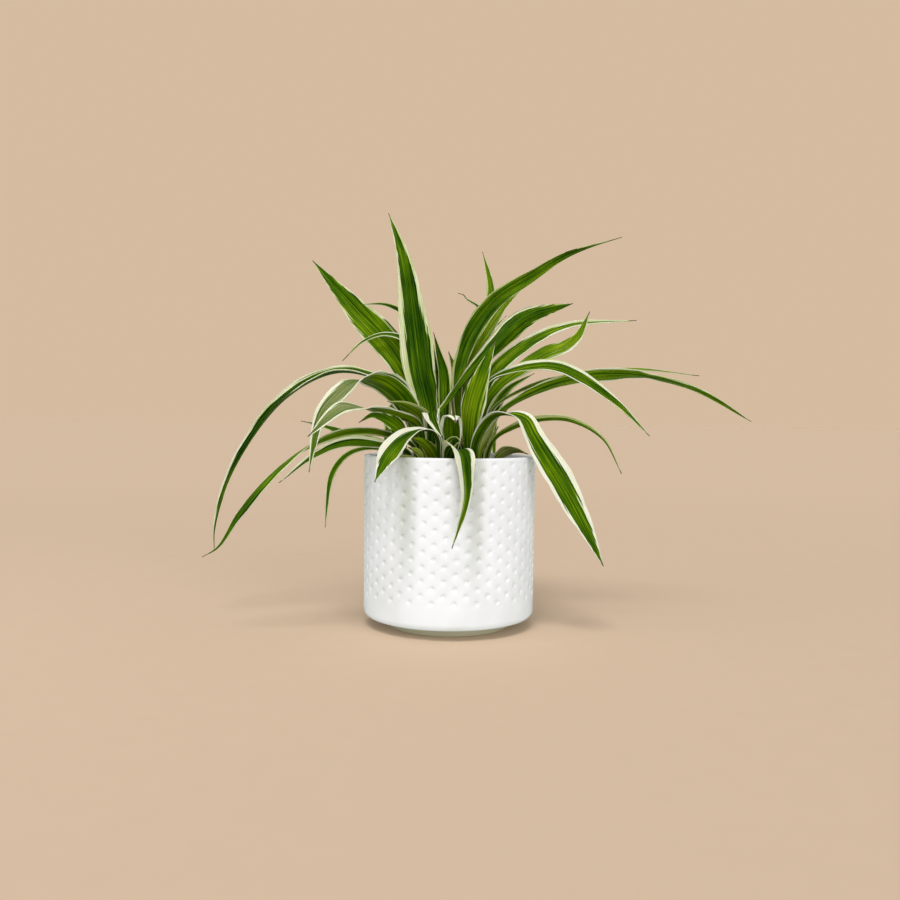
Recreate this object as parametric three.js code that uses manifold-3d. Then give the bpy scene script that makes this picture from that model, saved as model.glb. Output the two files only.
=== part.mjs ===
// Potted spider plant: four crowns of striped, arching leaves in the soil of a round glazed
// pot, whose wall is covered with staggered rows of shallow round dimples.
// Millimetres, +Z up. The origin is the middle of the pot's foot, on the surface that it stands
// on, and -Y is the plant's front.
import * as THREE from 'three';
import { mergeGeometries, mergeVertices } from 'three/addons/utils/BufferGeometryUtils.js';
import Module from 'manifold-3d';

const wasm = await Module();
wasm.setup();

const radians = THREE.MathUtils.degToRad;

// Pot
const RIM_RADIUS = 60;
const BASE_RADIUS = 59.5;
const POT_HEIGHT = 119;
const WALL = 4;
const FOOT_RADIUS = 43;
const FOOT_HEIGHT = 6.5;
const CORNER_RADIUS = 5;
const LIP_RADIUS = 1.4;
const FLOOR_TOP = 12;

// Dimples in the pot's wall
const COLUMNS = 50;
const DIMPLES_PER_COLUMN = 10;
const DIMPLE_RADIUS = 2.1;
const DIMPLE_DEPTH = 0.8;
const DIMPLE_SIDES = 6;
const LOWEST_DIMPLE = 25;
const HIGHEST_DIMPLE = 114.7;
const BAND_MARGIN = 2.7;
const COLUMN_LEAN = radians(2.4);

// Soil, and the gap that neighbouring pieces keep
const SOIL_LEVEL = 107;
const SOIL_WAVE = 1.2;
const SOIL_RINGS = 5;
const SOIL_SIDES = 30;
const POCKET_FLOOR = 102;
const POCKET_SIDES = 20;
const GAP = 0.3;

// Leaves
const LEAF_THICKNESS = 0.8;
const LEAF_STEP = 12;
const FEWEST_STEPS = 6;
const FOOT_SHARE = 0.26;
const NARROWEST = 0.9;
const FOLDS = [44, 26, 16, 14, 20];
const TAPER = 1.25;

const GLAZE = { color: 0xf2f1ee, roughness: 0.22, metalness: 0 };
const EARTH = { color: 0x3a2a1e, roughness: 0.95, metalness: 0 };
const PALE_GREEN = { color: 0xaab47a, roughness: 0.6, metalness: 0 };
const LEAF_GREEN = { color: 0x4c7a16, roughness: 0.45, metalness: 0 };

// Each crown stands at [x, y], in a round pocket of the soil.
const CROWNS = {
  left: { at: [-14, 4], pocket: 14, stub: 2.4, height: 14 },
  right: { at: [17, 10], pocket: 16, stub: 2.4, height: 14 },
  front: { at: [-2, -32], pocket: 10.5, stub: 1.8, height: 10 },
  side: { at: [-27, -16], pocket: 9.5, stub: 1.8, height: 10 },
};

// Each leaf: its crown, the bearing of its foot round the crown and the distance from the crown's
// middle, its greatest width and where along it that lies, its turn about its own midrib and its
// fold, both in degrees at even steps, and the points [x, y, z] that its midrib runs through, its
// tip the last.
const LEAVES = {
  tall: {
    crown: 'left', bearing: 80, distance: 5, width: 26, widest: 0.46, taper: 1.15, turn: [0, 0],
    fold: [44, 26, 14, 10, 16],
    route: [[-15, 11, 147], [-22, 16, 179], [-27, 21, 212], [-36, 32, 263], [-48, 43, 297]],
  },
  upper_left: {
    crown: 'left', bearing: 118, distance: 11.5, width: 23, widest: 0.62, taper: 1.15, turn: [-25, -30],
    route: [[-20, 18, 149], [-40, 27, 190], [-72, 37, 225], [-105, 47, 262]],
  },
  far_left_high: {
    crown: 'left', bearing: 170, distance: 6.5, width: 13.5, widest: 0.5, taper: 1.8,
    turn: [-15, -18, -22, -48, -60, -55], fold: [48, 44, 42, 48, 48, 34],
    route: [
      [-19, 6, 145], [-38, 10, 164.5], [-80, 17, 176.5], [-119.5, 18, 157], [-157, 16, 104],
      [-169, 14, 63.5], [-169.3, 13, 47.5],
    ],
  },
  broad_left: {
    crown: 'left', bearing: 212, distance: 6.5, width: 22.5, widest: 0.42, taper: 1.25,
    turn: [30, 40, 48, 34, -20, -28, -30],
    route: [
      [-29, -3.5, 149.5], [-45.5, -16.5, 167], [-60.5, -32, 169], [-81, -50, 150], [-86, -55, 135],
      [-90, -60, 109],
    ],
  },
  pale_left: {
    crown: 'left', bearing: 240, distance: 9.5, width: 15, widest: 0.72, turn: [0, 25, 22, -35, -60],
    route: [[-22, -10, 138], [-41, -32, 146.5], [-57, -48, 150], [-69, -60, 150], [-89, -72, 132]],
  },
  inner_left: {
    crown: 'left', bearing: 258, distance: 6.5, width: 12, widest: 0.6, turn: [0, 0],
    route: [[-19, -7, 144], [-25, -13.5, 150], [-32, -20, 153.5], [-42.5, -27, 155.5]],
  },
  thin_back_left: {
    crown: 'left', bearing: 85, distance: 9, width: 6.6, widest: 0.65, turn: [0, 0],
    route: [[-12, 18, 158], [-22, 26, 192], [-34, 31, 220], [-48, 31, 227.5], [-66, 26, 227]],
  },
  thin_left: {
    crown: 'left', bearing: 126, distance: 7, width: 6.6, widest: 0.62, turn: [0, 0],
    route: [[-22, 17, 168], [-33, 23, 200], [-48, 23, 205], [-64, 19, 199], [-78, 14, 185]],
  },
  centre: {
    crown: 'left', bearing: 23, distance: 7.6, width: 10.5, widest: 0.58, turn: [50, 45],
    route: [[-3.8, 11, 147], [-4.8, 16, 176], [-8.3, 20, 190], [-13, 23, 207]],
  },
  centre_back: {
    crown: 'left', bearing: 50, distance: 9.5, width: 9, widest: 0.45, turn: [0, 0],
    route: [[-7, 18, 153], [-9, 22, 172], [-13, 26, 198]],
  },
  upper_right: {
    crown: 'left', bearing: 310, distance: 5.3, width: 18.5, widest: 0.72, turn: [-15, -25],
    fold: [60, 70, 68, 44, 18, 14],
    route: [[-10, -1, 143], [-1, 3, 157], [10, 9, 171], [33, 22, 198], [56, 30, 220], [90, 38, 231]],
  },
  dark_inner: {
    crown: 'left', bearing: 300, distance: 11, width: 11, widest: 0.5, turn: [0, 0],
    route: [[-9, -9.5, 113], [-13, -16, 122], [-20, -21, 129], [-27, -24, 131]],
  },
  short_front: {
    crown: 'left', bearing: 272, distance: 10.3, width: 13, widest: 0.6, turn: [0, 0, 20, 20],
    route: [[-13, -10, 138], [-13, -17, 148], [-12, -29, 144], [-9, -38, 138], [-4.5, -43, 131]],
  },
  whip_right: {
    crown: 'right', bearing: 130, distance: 7.5, width: 15, widest: 0.5, taper: 1,
    turn: [-5, -8, -10, -12, -12, 10, 60],
    route: [
      [4, 14, 158], [5, 18, 180], [13, 24, 205], [32, 30, 232], [58, 34, 250], [85, 36, 267],
      [125, 36, 280],
    ],
  },
  behind_whip: {
    crown: 'right', bearing: 105, distance: 12.5, width: 14.5, widest: 0.5, turn: [0, 0],
    route: [[7, 24, 165], [12, 28, 184], [20, 32, 199], [40, 40, 230], [54, 44, 244]],
  },
  centre_point: {
    crown: 'right', bearing: 135, distance: 13.5, width: 12, widest: 0.62, turn: [-20, -20],
    route: [[5, 27, 158], [3, 29, 178], [-2, 32, 194]],
  },
  curly_back: {
    crown: 'right', bearing: 95, distance: 9, width: 10.2, widest: 0.62, taper: 0.75, turn: [0, 0],
    route: [[20, 30, 169], [27, 38, 200], [21, 43, 227], [10.8, 43, 234.2], [8.7, 42, 237], [4.6, 42, 238]],
  },
  back_point: {
    crown: 'right', bearing: 75, distance: 13, width: 12, widest: 0.7, taper: 1.05, turn: [0, 0],
    route: [[22, 40, 173], [29, 50, 227], [29, 53, 246], [23, 58, 272]],
  },
  front_upright: {
    crown: 'right', bearing: 250, distance: 9, width: 18.5, widest: 0.55, turn: [0, 0],
    route: [[13, 0, 130], [15, -2, 153], [23, -2, 180], [31, 0, 199]],
  },
  hanging_right: {
    crown: 'right', bearing: 278, distance: 12.5, width: 22, widest: 0.66, taper: 1.5,
    turn: [0, 0, 75, 85, 82, 80],
    route: [
      [18, -6, 128], [31, -15, 146], [48.5, -23, 144.5], [55.5, -27, 133], [67, -30, 114], [79, -33, 94],
      [103, -38, 47.5],
    ],
  },
  inner_right: {
    crown: 'right', bearing: 300, distance: 9, width: 12.5, widest: 0.55, turn: [0, 0],
    route: [[20.5, 0.5, 122], [26, -2, 136], [32, -4, 146], [39.5, -5, 150.5]],
  },
  arching_right: {
    crown: 'right', bearing: 330, distance: 6.5, width: 12, widest: 0.6, turn: [0, 20, 50, 75, 80, 80],
    fold: [44, 36, 28, 18, 16],
    route: [
      [22, 6, 140], [27, 4, 169], [43, 2, 177.5], [71, -2, 181.5], [94, -6, 172], [118, -9, 154],
      [138, -11, 134],
    ],
  },
  bright_right: {
    crown: 'right', bearing: 20, distance: 7, width: 13.5, widest: 0.72, taper: 1.3, turn: [35, 45],
    route: [
      [25, 14, 152], [35, 16, 168], [51, 19, 180], [68, 22, 191], [84, 24, 198], [93, 26, 206],
      [101, 28, 224],
    ],
  },
  thin_right: {
    crown: 'right', bearing: 55, distance: 10, width: 13, widest: 0.48, taper: 0.95, turn: [5, 25],
    route: [[24, 24, 160], [32, 27, 179], [62, 35, 204], [87, 40, 215], [139, 46, 220]],
  },
  far_right: {
    crown: 'right', bearing: 345, distance: 9, width: 12, widest: 0.55,
    turn: [-15, -25, -30, -28, -26, -20, 14, 5, -25, -30],
    route: [
      [27, 9, 132], [36, 14, 149], [71, 21, 169], [109, 27, 177], [144, 31, 177], [184, 35, 167],
      [224, 37, 145],
    ],
  },
  far_right_back: {
    crown: 'right', bearing: 22, distance: 12, width: 7, widest: 0.5, turn: [10, 30],
    route: [[29, 17, 147], [51, 25, 165], [103, 37, 180], [137, 41, 183], [187, 46, 179]],
  },
  short_right: {
    crown: 'right', bearing: 38, distance: 12, width: 9.5, widest: 0.5, turn: [35, 50],
    route: [[29, 24, 140], [34, 28, 155], [43, 32, 167], [62, 37, 179]],
  },
  lower_right: {
    crown: 'right', bearing: 310, distance: 12, width: 6.5, widest: 0.42, turn: [-12, -18],
    route: [
      [26.8, 0, 121], [32, -2, 131], [41, -5, 137.4], [59, -7, 144.2], [83, -11, 144.5], [105, -15, 132],
      [118, -17, 108],
    ],
  },
  rim_right: {
    crown: 'right', bearing: 5, distance: 13.5, width: 11, widest: 0.55, turn: [-20, -60, -60],
    route: [[33.5, 12.5, 114], [40, 10, 121.3], [47.5, 5, 122.2], [55, -1, 120]],
  },
  over_rim_left: {
    crown: 'front', bearing: 206, distance: 6.8, width: 15.5, widest: 0.77, taper: 1.05,
    turn: [0, 0, 0, -8, -36, -44, -30], fold: [44, 40, 24, 20, 24, 26, 16, 16, 20],
    route: [
      [-8.2, -35, 118], [-8.8, -35.6, 129], [-12, -37.6, 134.8], [-16.5, -40, 136], [-23, -43, 134.8],
      [-30.5, -48, 130.8], [-39, -55, 121.5], [-47.8, -62, 103.4],
    ],
  },
  over_rim_front: {
    crown: 'front', bearing: 270, distance: 7.5, width: 20, widest: 0.35, taper: 0.85, turn: [0, 0],
    route: [[0, -46, 119], [3, -54, 124.5], [7, -62, 122], [9, -67, 112], [10, -68, 94], [2, -66, 62]],
  },
  curled_front: {
    crown: 'front', bearing: 90, distance: 4, width: 15.6, widest: 0.62, taper: 1.7, turn: [0, 0],
    route: [[0.4, -31, 128], [0.5, -35.5, 141], [0.9, -42, 147], [2.8, -48.5, 145], [3.6, -51, 141.5]],
  },
  small_front_left: {
    crown: 'front', bearing: 250, distance: 4.2, width: 4, widest: 0.5, turn: [0, 0],
    route: [[-4, -38, 120], [-1, -43, 130], [4, -47, 132], [8, -49, 128]],
  },
  small_front_right: {
    crown: 'front', bearing: 320, distance: 4.2, width: 4, widest: 0.5, turn: [0, 0],
    route: [[1, -38, 120], [4, -41, 127], [9, -44, 131]],
  },
  far_left_low: {
    crown: 'side', bearing: 45, distance: 6, width: 11, widest: 0.5, turn: [20, 42, 34, -25, -60, -70],
    route: [
      [-24, -13, 124], [-43, -25, 134], [-70, -37, 135], [-101, -45, 120], [-136, -48, 82],
      [-151, -47.5, 58.5], [-161.5, -47, 51.7],
    ],
  },
  pale_low_left: {
    crown: 'side', bearing: 285, distance: 5, width: 8.5, widest: 0.5, turn: [0, 0],
    route: [[-28, -28, 121], [-47, -37, 127], [-68, -48, 128], [-87, -56, 120], [-109, -61, 102]],
  },
  rim_left: {
    crown: 'side', bearing: 185, distance: 8, width: 5.5, widest: 0.6, turn: [-30, -70, -85],
    route: [[-41, -14, 119], [-54, -12, 123], [-70, -12, 119], [-81, -12, 105], [-86, -12, 68]],
  },
  dry_tip_left: {
    crown: 'side', bearing: 180, distance: 4, width: 13, widest: 0.6, taper: 0.8, turn: [0, -20, -30, -30],
    route: [[-32, -21, 122], [-34, -31, 136], [-44, -41, 144], [-51, -44, 146], [-60, -46, 141]],
  },
  low_back_left: {
    crown: 'side', bearing: 100, distance: 7, width: 8, widest: 0.35, turn: [0, 0],
    route: [
      [-36.5, -6, 117], [-46, -3.5, 124.5], [-54.5, -2, 127.8], [-76.5, 2, 133.8], [-88.6, 6, 137.6],
      [-107.4, 14, 141.5],
    ],
  },
  dark_side: {
    crown: 'side', bearing: 350, distance: 7, width: 8.5, widest: 0.5, turn: [0, 0],
    route: [[-17.5, -19, 113], [-21, -28, 121.5], [-28, -35, 125]],
  },
  dark_low: {
    crown: 'side', bearing: 305, distance: 7, width: 7.5, widest: 0.5, turn: [0, 0],
    route: [[-22.5, -25.5, 112], [-29, -35, 117.5], [-37.5, -38.5, 119.5]],
  },
  back_1: {
    crown: 'left', bearing: 92, distance: 11.8, width: 12, widest: 0.5, turn: [0, 0],
    route: [[-15, 24, 130], [-17, 42, 162], [-20, 68, 183], [-24, 98, 160], [-27, 122, 100]],
  },
  back_2: {
    crown: 'left', bearing: 144, distance: 11.6, width: 11, widest: 0.5, turn: [0, 0],
    route: [[-29, 24, 134], [-38, 45, 154], [-48, 72, 138], [-52, 92, 92]],
  },
  back_3: {
    crown: 'right', bearing: 88, distance: 13.5, width: 12, widest: 0.5, turn: [0, 0],
    route: [[22, 42, 150], [28, 70, 178], [34, 104, 155], [38, 130, 98]],
  },
  back_4: {
    crown: 'right', bearing: 59, distance: 13, width: 12, widest: 0.5, turn: [0, 0],
    route: [[29, 38, 138], [38, 60, 164], [33, 92, 146], [29, 108, 96]],
  },
  back_5: {
    crown: 'left', bearing: 101, distance: 7.6, width: 10, widest: 0.5, turn: [0, 0],
    route: [[-17, 27, 146], [-23, 50, 179], [-30, 78, 214], [-39, 108, 250]],
  },
  back_6: {
    crown: 'left', bearing: 158, distance: 10, width: 12, widest: 0.5, turn: [-20, -25],
    route: [[-26, 22, 146], [-38, 48, 180], [-60, 78, 208], [-85, 102, 230]],
  },
  back_7: {
    crown: 'right', bearing: 122, distance: 14, width: 10, widest: 0.45, turn: [0, 10],
    route: [[10, 36, 152], [15, 60, 186], [28, 90, 210], [45, 114, 230]],
  },
  back_8: {
    crown: 'left', bearing: 60, distance: 11.6, width: 13, widest: 0.5, turn: [0, 0],
    route: [[-7, 30, 146], [-8, 66, 170], [-10, 104, 151], [-12, 124, 98]],
  },
  back_9: {
    crown: 'left', bearing: 26, distance: 12, width: 6.5, widest: 0.6, turn: [30, 40],
    route: [[-2.5, 16, 136], [-2, 26, 160], [-3, 38, 180]],
  },
  inner_low: {
    crown: 'right', bearing: 320, distance: 10.5, width: 7.5, widest: 0.5, turn: [0, 0],
    route: [[26.5, 4.5, 118], [30.5, 2.5, 132], [34, 1, 139.5]],
  },
};

/**
 * A closed solid of positions only: shared corners merged, slivers without area left out.
 * @param {THREE.BufferGeometry} source
 * @returns {THREE.BufferGeometry}
 */
function closed(source) {
  const bare = new THREE.BufferGeometry();
  bare.setAttribute('position', source.getAttribute('position').clone());
  if (source.index) {
    bare.setIndex(Array.from(source.index.array));
  }
  const merged = mergeVertices(bare, 1e-3);
  const corners = merged.index.array;
  const kept = [];
  for (let i = 0; i < corners.length; i += 3) {
    const [a, b, c] = corners.slice(i, i + 3);
    if (a !== b && b !== c && c !== a) {
      kept.push(a, b, c);
    }
  }
  merged.setIndex(kept);
  return merged;
}

/**
 * A geometry from plain lists of points and of triangles.
 * @param {THREE.Vector3[]} points
 * @param {number[]} triangles
 * @returns {THREE.BufferGeometry}
 */
function fromPoints(points, triangles) {
  const geometry = new THREE.BufferGeometry().setFromPoints(points);
  geometry.setIndex(triangles);
  return geometry;
}

/**
 * A body turned about the Z axis from a profile of [radius, height] points.
 * @param {number[][]} profile
 * @param {number} sides
 * @param {number} start bearing of the seam, in radians
 * @returns {THREE.BufferGeometry}
 */
function turned(profile, sides, start = 0) {
  const points = profile.map(([radius, height]) => new THREE.Vector2(radius, height));
  return new THREE.LatheGeometry(points, sides, start).rotateX(Math.PI / 2);
}

/** The manifold solid of a closed geometry. */
function solidOf(geometry) {
  return new wasm.Manifold(new wasm.Mesh({
    numProp: 3,
    vertProperties: new Float32Array(geometry.getAttribute('position').array),
    triVerts: new Uint32Array(geometry.index.array),
  }));
}

/** The geometry of a manifold solid. */
function geometryOf(solid) {
  const mesh = solid.getMesh();
  const geometry = new THREE.BufferGeometry();
  geometry.setAttribute('position', new THREE.BufferAttribute(new Float32Array(mesh.vertProperties), 3));
  geometry.setIndex(Array.from(mesh.triVerts));
  return geometry;
}

// Pot

/** The outer radius of the pot's wall at a height. */
function wallRadius(height) {
  return THREE.MathUtils.mapLinear(height, 0, POT_HEIGHT, BASE_RADIUS, RIM_RADIUS);
}

/**
 * A point on the wall: the sideways place is measured round the pot in radians from the front,
 * and the dimple columns lean, so that a point higher up lies further round.
 */
function wallPoint(round, height, depth = 0) {
  const lean = (height - LOWEST_DIMPLE) * Math.tan(COLUMN_LEAN) / RIM_RADIUS;
  const radius = wallRadius(height) - depth;
  return new THREE.Vector3(
    radius * Math.sin(round + lean), -radius * Math.cos(round + lean), height);
}

/** One leaning strip of the wall with a column of dimples sunk into it. */
function dimpledStrip(column, bandBottom, bandTop) {
  const pitch = 2 * Math.PI / COLUMNS;
  const left = column * pitch;
  const rows = 2 * DIMPLES_PER_COLUMN;
  const rowStep = (HIGHEST_DIMPLE - LOWEST_DIMPLE) / (rows - 1);
  const outline = [[left, bandBottom], [left + pitch, bandBottom], [left + pitch, bandTop], [left, bandTop]]
    .map(([round, height]) => new THREE.Vector2(round * RIM_RADIUS, height));
  const holes = [];
  const bottoms = [];
  for (let i = 0; i < DIMPLES_PER_COLUMN; i += 1) {
    const middle = new THREE.Vector2(
      (left + pitch / 2) * RIM_RADIUS, LOWEST_DIMPLE + (2 * i + column % 2) * rowStep);
    const hole = [];
    for (let side = 0; side < DIMPLE_SIDES; side += 1) {
      const angle = -2 * Math.PI * side / DIMPLE_SIDES;
      hole.push(new THREE.Vector2(
        middle.x + DIMPLE_RADIUS * Math.cos(angle), middle.y + DIMPLE_RADIUS * Math.sin(angle)));
    }
    holes.push(hole);
    bottoms.push(middle);
  }
  const onWall = (flat, depth) => wallPoint(flat.x / RIM_RADIUS, flat.y, depth);
  const points = [outline, ...holes].flat().map((flat) => onWall(flat, 0));
  const triangles = THREE.ShapeUtils.triangulateShape(outline, holes).flat();
  for (let i = 0; i < DIMPLES_PER_COLUMN; i += 1) {
    const first = outline.length + i * DIMPLE_SIDES;
    const bottom = points.length;
    points.push(onWall(bottoms[i], DIMPLE_DEPTH));
    for (let side = 0; side < DIMPLE_SIDES; side += 1) {
      triangles.push(first + (side + 1) % DIMPLE_SIDES, first + side, bottom);
    }
  }
  return fromPoints(points, triangles);
}

/** The points of a quarter round, from one bearing to another, in a profile. */
function quarterRound(radius, height, size, from, to, steps) {
  const points = [];
  for (let i = 0; i <= steps; i += 1) {
    const angle = radians(THREE.MathUtils.lerp(from, to, i / steps));
    points.push([radius + size * Math.cos(angle), height + size * Math.sin(angle)]);
  }
  return points;
}

/** The whole pot: foot, rounded corner, dimpled wall, rounded lip, and the hollow inside. */
function potGeometry() {
  const bandBottom = LOWEST_DIMPLE - BAND_MARGIN;
  const bandTop = HIGHEST_DIMPLE + BAND_MARGIN;
  const leanAt = (height) => (height - LOWEST_DIMPLE) * Math.tan(COLUMN_LEAN) / RIM_RADIUS;
  const cornerTop = FOOT_HEIGHT + CORNER_RADIUS;
  const lower = [
    [0, 0],
    [FOOT_RADIUS, 0],
    [FOOT_RADIUS, FOOT_HEIGHT],
    ...quarterRound(wallRadius(cornerTop) - CORNER_RADIUS, cornerTop, CORNER_RADIUS, -90, 0, 3),
    [wallRadius(bandBottom), bandBottom],
  ];
  const lipTop = POT_HEIGHT - LIP_RADIUS;
  const outerLip = wallRadius(POT_HEIGHT) - LIP_RADIUS;
  const innerLip = wallRadius(POT_HEIGHT) - WALL + LIP_RADIUS;
  const upper = [
    [wallRadius(bandTop), bandTop],
    ...quarterRound(outerLip, lipTop, LIP_RADIUS, 0, 90, 2),
    ...quarterRound(innerLip, lipTop, LIP_RADIUS, 90, 180, 2),
    [BASE_RADIUS - WALL, FLOOR_TOP],
    [0, FLOOR_TOP],
  ];
  const pieces = [turned(lower, COLUMNS, leanAt(bandBottom)), turned(upper, COLUMNS, leanAt(bandTop))];
  for (let column = 0; column < COLUMNS; column += 1) {
    pieces.push(dimpledStrip(column, bandBottom, bandTop));
  }
  for (const piece of pieces) {
    piece.deleteAttribute('normal');
    piece.deleteAttribute('uv');
  }
  return closed(mergeGeometries(pieces));
}

// Soil and crowns

/** The height of the soil's surface at a place, a little uneven. */
function soilHeight(x, y) {
  const wave = Math.sin(0.19 * x + 1.3) * Math.cos(0.23 * y - 0.4) + 0.5 * Math.sin(0.41 * x - 0.33 * y);
  return SOIL_LEVEL + SOIL_WAVE * wave / 1.5;
}

/** The soil that fills the pot, with a pocket for each crown. */
function soilGeometry() {
  const innerRadius = BASE_RADIUS - WALL - GAP;
  const bottom = FLOOR_TOP + GAP;
  const profile = [[0, bottom], [innerRadius, bottom]];
  for (let ring = SOIL_RINGS; ring >= 0; ring -= 1) {
    profile.push([innerRadius * ring / SOIL_RINGS, SOIL_LEVEL]);
  }
  const body = closed(turned(profile, SOIL_SIDES));
  const position = body.getAttribute('position');
  for (let i = 0; i < position.count; i += 1) {
    if (position.getZ(i) > SOIL_LEVEL / 2) {
      position.setZ(i, soilHeight(position.getX(i), position.getY(i)));
    }
  }
  let soil = solidOf(body);
  for (const crown of Object.values(CROWNS)) {
    const depth = 2 * (SOIL_LEVEL - POCKET_FLOOR);
    const pocket = new THREE.CylinderGeometry(crown.pocket, crown.pocket, depth, POCKET_SIDES)
      .rotateX(Math.PI / 2)
      .translate(crown.at[0], crown.at[1], POCKET_FLOOR + depth / 2);
    soil = soil.subtract(solidOf(closed(pocket)));
  }
  return geometryOf(soil);
}

/** The short pale stem of a crown, which its leaves stand round. */
function crownGeometry({ at, stub, height }) {
  const bottom = POCKET_FLOOR + GAP;
  const profile = [[0, bottom], [stub, bottom], [stub * 0.9, bottom + height * 0.6], [0, bottom + height]];
  return closed(turned(profile, 8)).translate(at[0], at[1], 0);
}

// Leaves

/** The value of a list of even steps at a place from 0 to 1. */
function alongList(list, place) {
  const scaled = place * (list.length - 1);
  const index = Math.min(Math.floor(scaled), list.length - 2);
  return THREE.MathUtils.lerp(list[index], list[index + 1], scaled - index);
}

/** Half the width of a leaf at a place from 0, its foot, to 1, its tip. */
function halfWidth({ width, widest, taper = TAPER }, place) {
  if (place < widest) {
    const rise = THREE.MathUtils.smoothstep((place / widest) ** 1.1, 0, 1);
    return width / 2 * THREE.MathUtils.lerp(FOOT_SHARE, 1, rise);
  }
  const fall = ((place - widest) / (1 - widest)) ** taper;
  return Math.max(NARROWEST / 2, width / 2 * (1 - fall));
}

/** The foot of a leaf, beside its crown. */
function footOf({ crown, bearing, distance }) {
  const [x, y] = CROWNS[crown].at;
  const angle = radians(bearing);
  return new THREE.Vector3(
    x + distance * Math.cos(angle), y + distance * Math.sin(angle), POCKET_FLOOR + GAP);
}

// The corners of a blade's section run 0, 1, 2 over its upper face and 3, 4, 5 back under it. The
// quads of both faces are split along the same diagonal, so that a twisted blade keeps its plate.
const UPPER_EDGES = [[0, 1], [1, 2], [2, 3], [5, 0]];
const LOWER_EDGES = [[3, 4], [4, 5]];
const END_FACES = [[0, 1, 4], [0, 4, 5], [1, 2, 3], [1, 3, 4]];

/** A leaf: a thin blade folded along its midrib, on a smooth curve through its route. */
function leafGeometry(leaf) {
  const foot = footOf(leaf);
  const route = [foot, ...leaf.route.map((point) => new THREE.Vector3(...point))];
  const midrib = new THREE.CatmullRomCurve3(route, false, 'centripetal');
  const steps = Math.max(FEWEST_STEPS, Math.round(midrib.getLength() / LEAF_STEP));
  const angle = radians(leaf.bearing);
  const across = new THREE.Vector3(-Math.sin(angle), Math.cos(angle), 0);
  const points = [];
  const triangles = [];
  for (let step = 0; step <= steps; step += 1) {
    const place = step / steps;
    const centre = midrib.getPointAt(place);
    const along = step === 0 ? new THREE.Vector3(0, 0, 1) : midrib.getTangentAt(place);
    across.addScaledVector(along, -across.dot(along)).normalize();
    const turn = radians(alongList(leaf.turn, place));
    const side = across.clone().applyAxisAngle(along, turn);
    const up = new THREE.Vector3().crossVectors(along, side);
    const half = halfWidth(leaf, place);
    const fold = radians(alongList(leaf.fold ?? FOLDS, place));
    const rise = half * Math.sin(fold);
    const reach = half * Math.cos(fold);
    const plate = LEAF_THICKNESS / 2;
    for (const [sideways, upwards] of [
      [-reach, rise + plate], [0, plate], [reach, rise + plate],
      [reach, rise - plate], [0, -plate], [-reach, rise - plate],
    ]) {
      points.push(centre.clone().addScaledVector(side, sideways).addScaledVector(up, upwards));
    }
  }
  const ring = 6;
  for (let step = 0; step < steps; step += 1) {
    const here = step * ring;
    const next = here + ring;
    for (const [a, b] of UPPER_EDGES) {
      triangles.push(here + a, next + a, next + b, here + a, next + b, here + b);
    }
    for (const [a, b] of LOWER_EDGES) {
      triangles.push(here + a, next + a, here + b, here + b, next + a, next + b);
    }
  }
  const last = steps * ring;
  for (const [a, b, c] of END_FACES) {
    triangles.push(a, b, c, last + a, last + c, last + b);
  }
  return fromPoints(points, triangles);
}

/** A named mesh. */
function mesh(name, geometry, finish) {
  const made = new THREE.Mesh(geometry, new THREE.MeshStandardMaterial(finish));
  made.name = name;
  return made;
}

const plant = new THREE.Group();
plant.add(mesh('pot', potGeometry(), GLAZE));
plant.add(mesh('soil', soilGeometry(), EARTH));
for (const [name, crown] of Object.entries(CROWNS)) {
  plant.add(mesh(`crown_${name}`, crownGeometry(crown), PALE_GREEN));
}
for (const [name, leaf] of Object.entries(LEAVES)) {
  plant.add(mesh(`leaf_${name}`, leafGeometry(leaf), LEAF_GREEN));
}

export default plant;
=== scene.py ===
"""A potted spider plant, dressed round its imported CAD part.

Four crowns of striped, arching leaves stand in the bark soil of a round white glazed pot, whose
wall is covered with staggered rows of shallow dimples. Lengths in the tables are millimetres and
angles degrees, in the part's own frame: +Z is up, -Y is the plant's front, and the origin is the
middle of the pot's foot. Blender's own values are metres.
"""

import logging
import math
import random
from collections.abc import Callable, Sequence
from dataclasses import dataclass
from enum import Enum

import bmesh
import bpy
import numpy as np
from mathutils import Euler, Matrix, Vector, noise


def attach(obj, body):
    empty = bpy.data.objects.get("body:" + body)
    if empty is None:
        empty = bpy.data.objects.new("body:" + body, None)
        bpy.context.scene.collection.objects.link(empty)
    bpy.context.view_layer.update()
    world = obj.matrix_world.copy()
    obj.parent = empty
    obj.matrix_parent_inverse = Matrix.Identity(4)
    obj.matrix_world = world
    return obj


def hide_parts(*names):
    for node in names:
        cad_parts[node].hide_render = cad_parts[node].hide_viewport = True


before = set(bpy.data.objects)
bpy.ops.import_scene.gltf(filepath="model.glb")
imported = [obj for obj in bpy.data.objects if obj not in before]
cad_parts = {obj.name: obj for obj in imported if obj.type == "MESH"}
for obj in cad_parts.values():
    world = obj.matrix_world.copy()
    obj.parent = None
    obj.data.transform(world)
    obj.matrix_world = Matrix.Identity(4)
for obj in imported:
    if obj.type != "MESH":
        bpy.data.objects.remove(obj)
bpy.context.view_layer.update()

LOG = logging.getLogger("spider_plant")
MM = 0.001
BODY = "root"
LEVELS = 255.0
SRGB_SLOPE = 12.92
SRGB_KNEE = 0.04045
SRGB_LIFT = 0.055
SRGB_POWER = 2.4
CENTRE_RADIUS = 0.5

Point = tuple[float, float, float]
Numbers = tuple[float, ...]
Colour = tuple[int, int, int]


class Crown(Enum):
    """The crowns, each by the place of its middle on the soil."""

    LEFT = (-14.0, 4.0)
    RIGHT = (17.0, 10.0)
    FRONT = (-2.0, -32.0)
    SIDE = (-27.0, -16.0)


class Face(Enum):
    """The two faces of a leaf."""

    UPPER = "upper"
    UNDER = "under"


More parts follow.
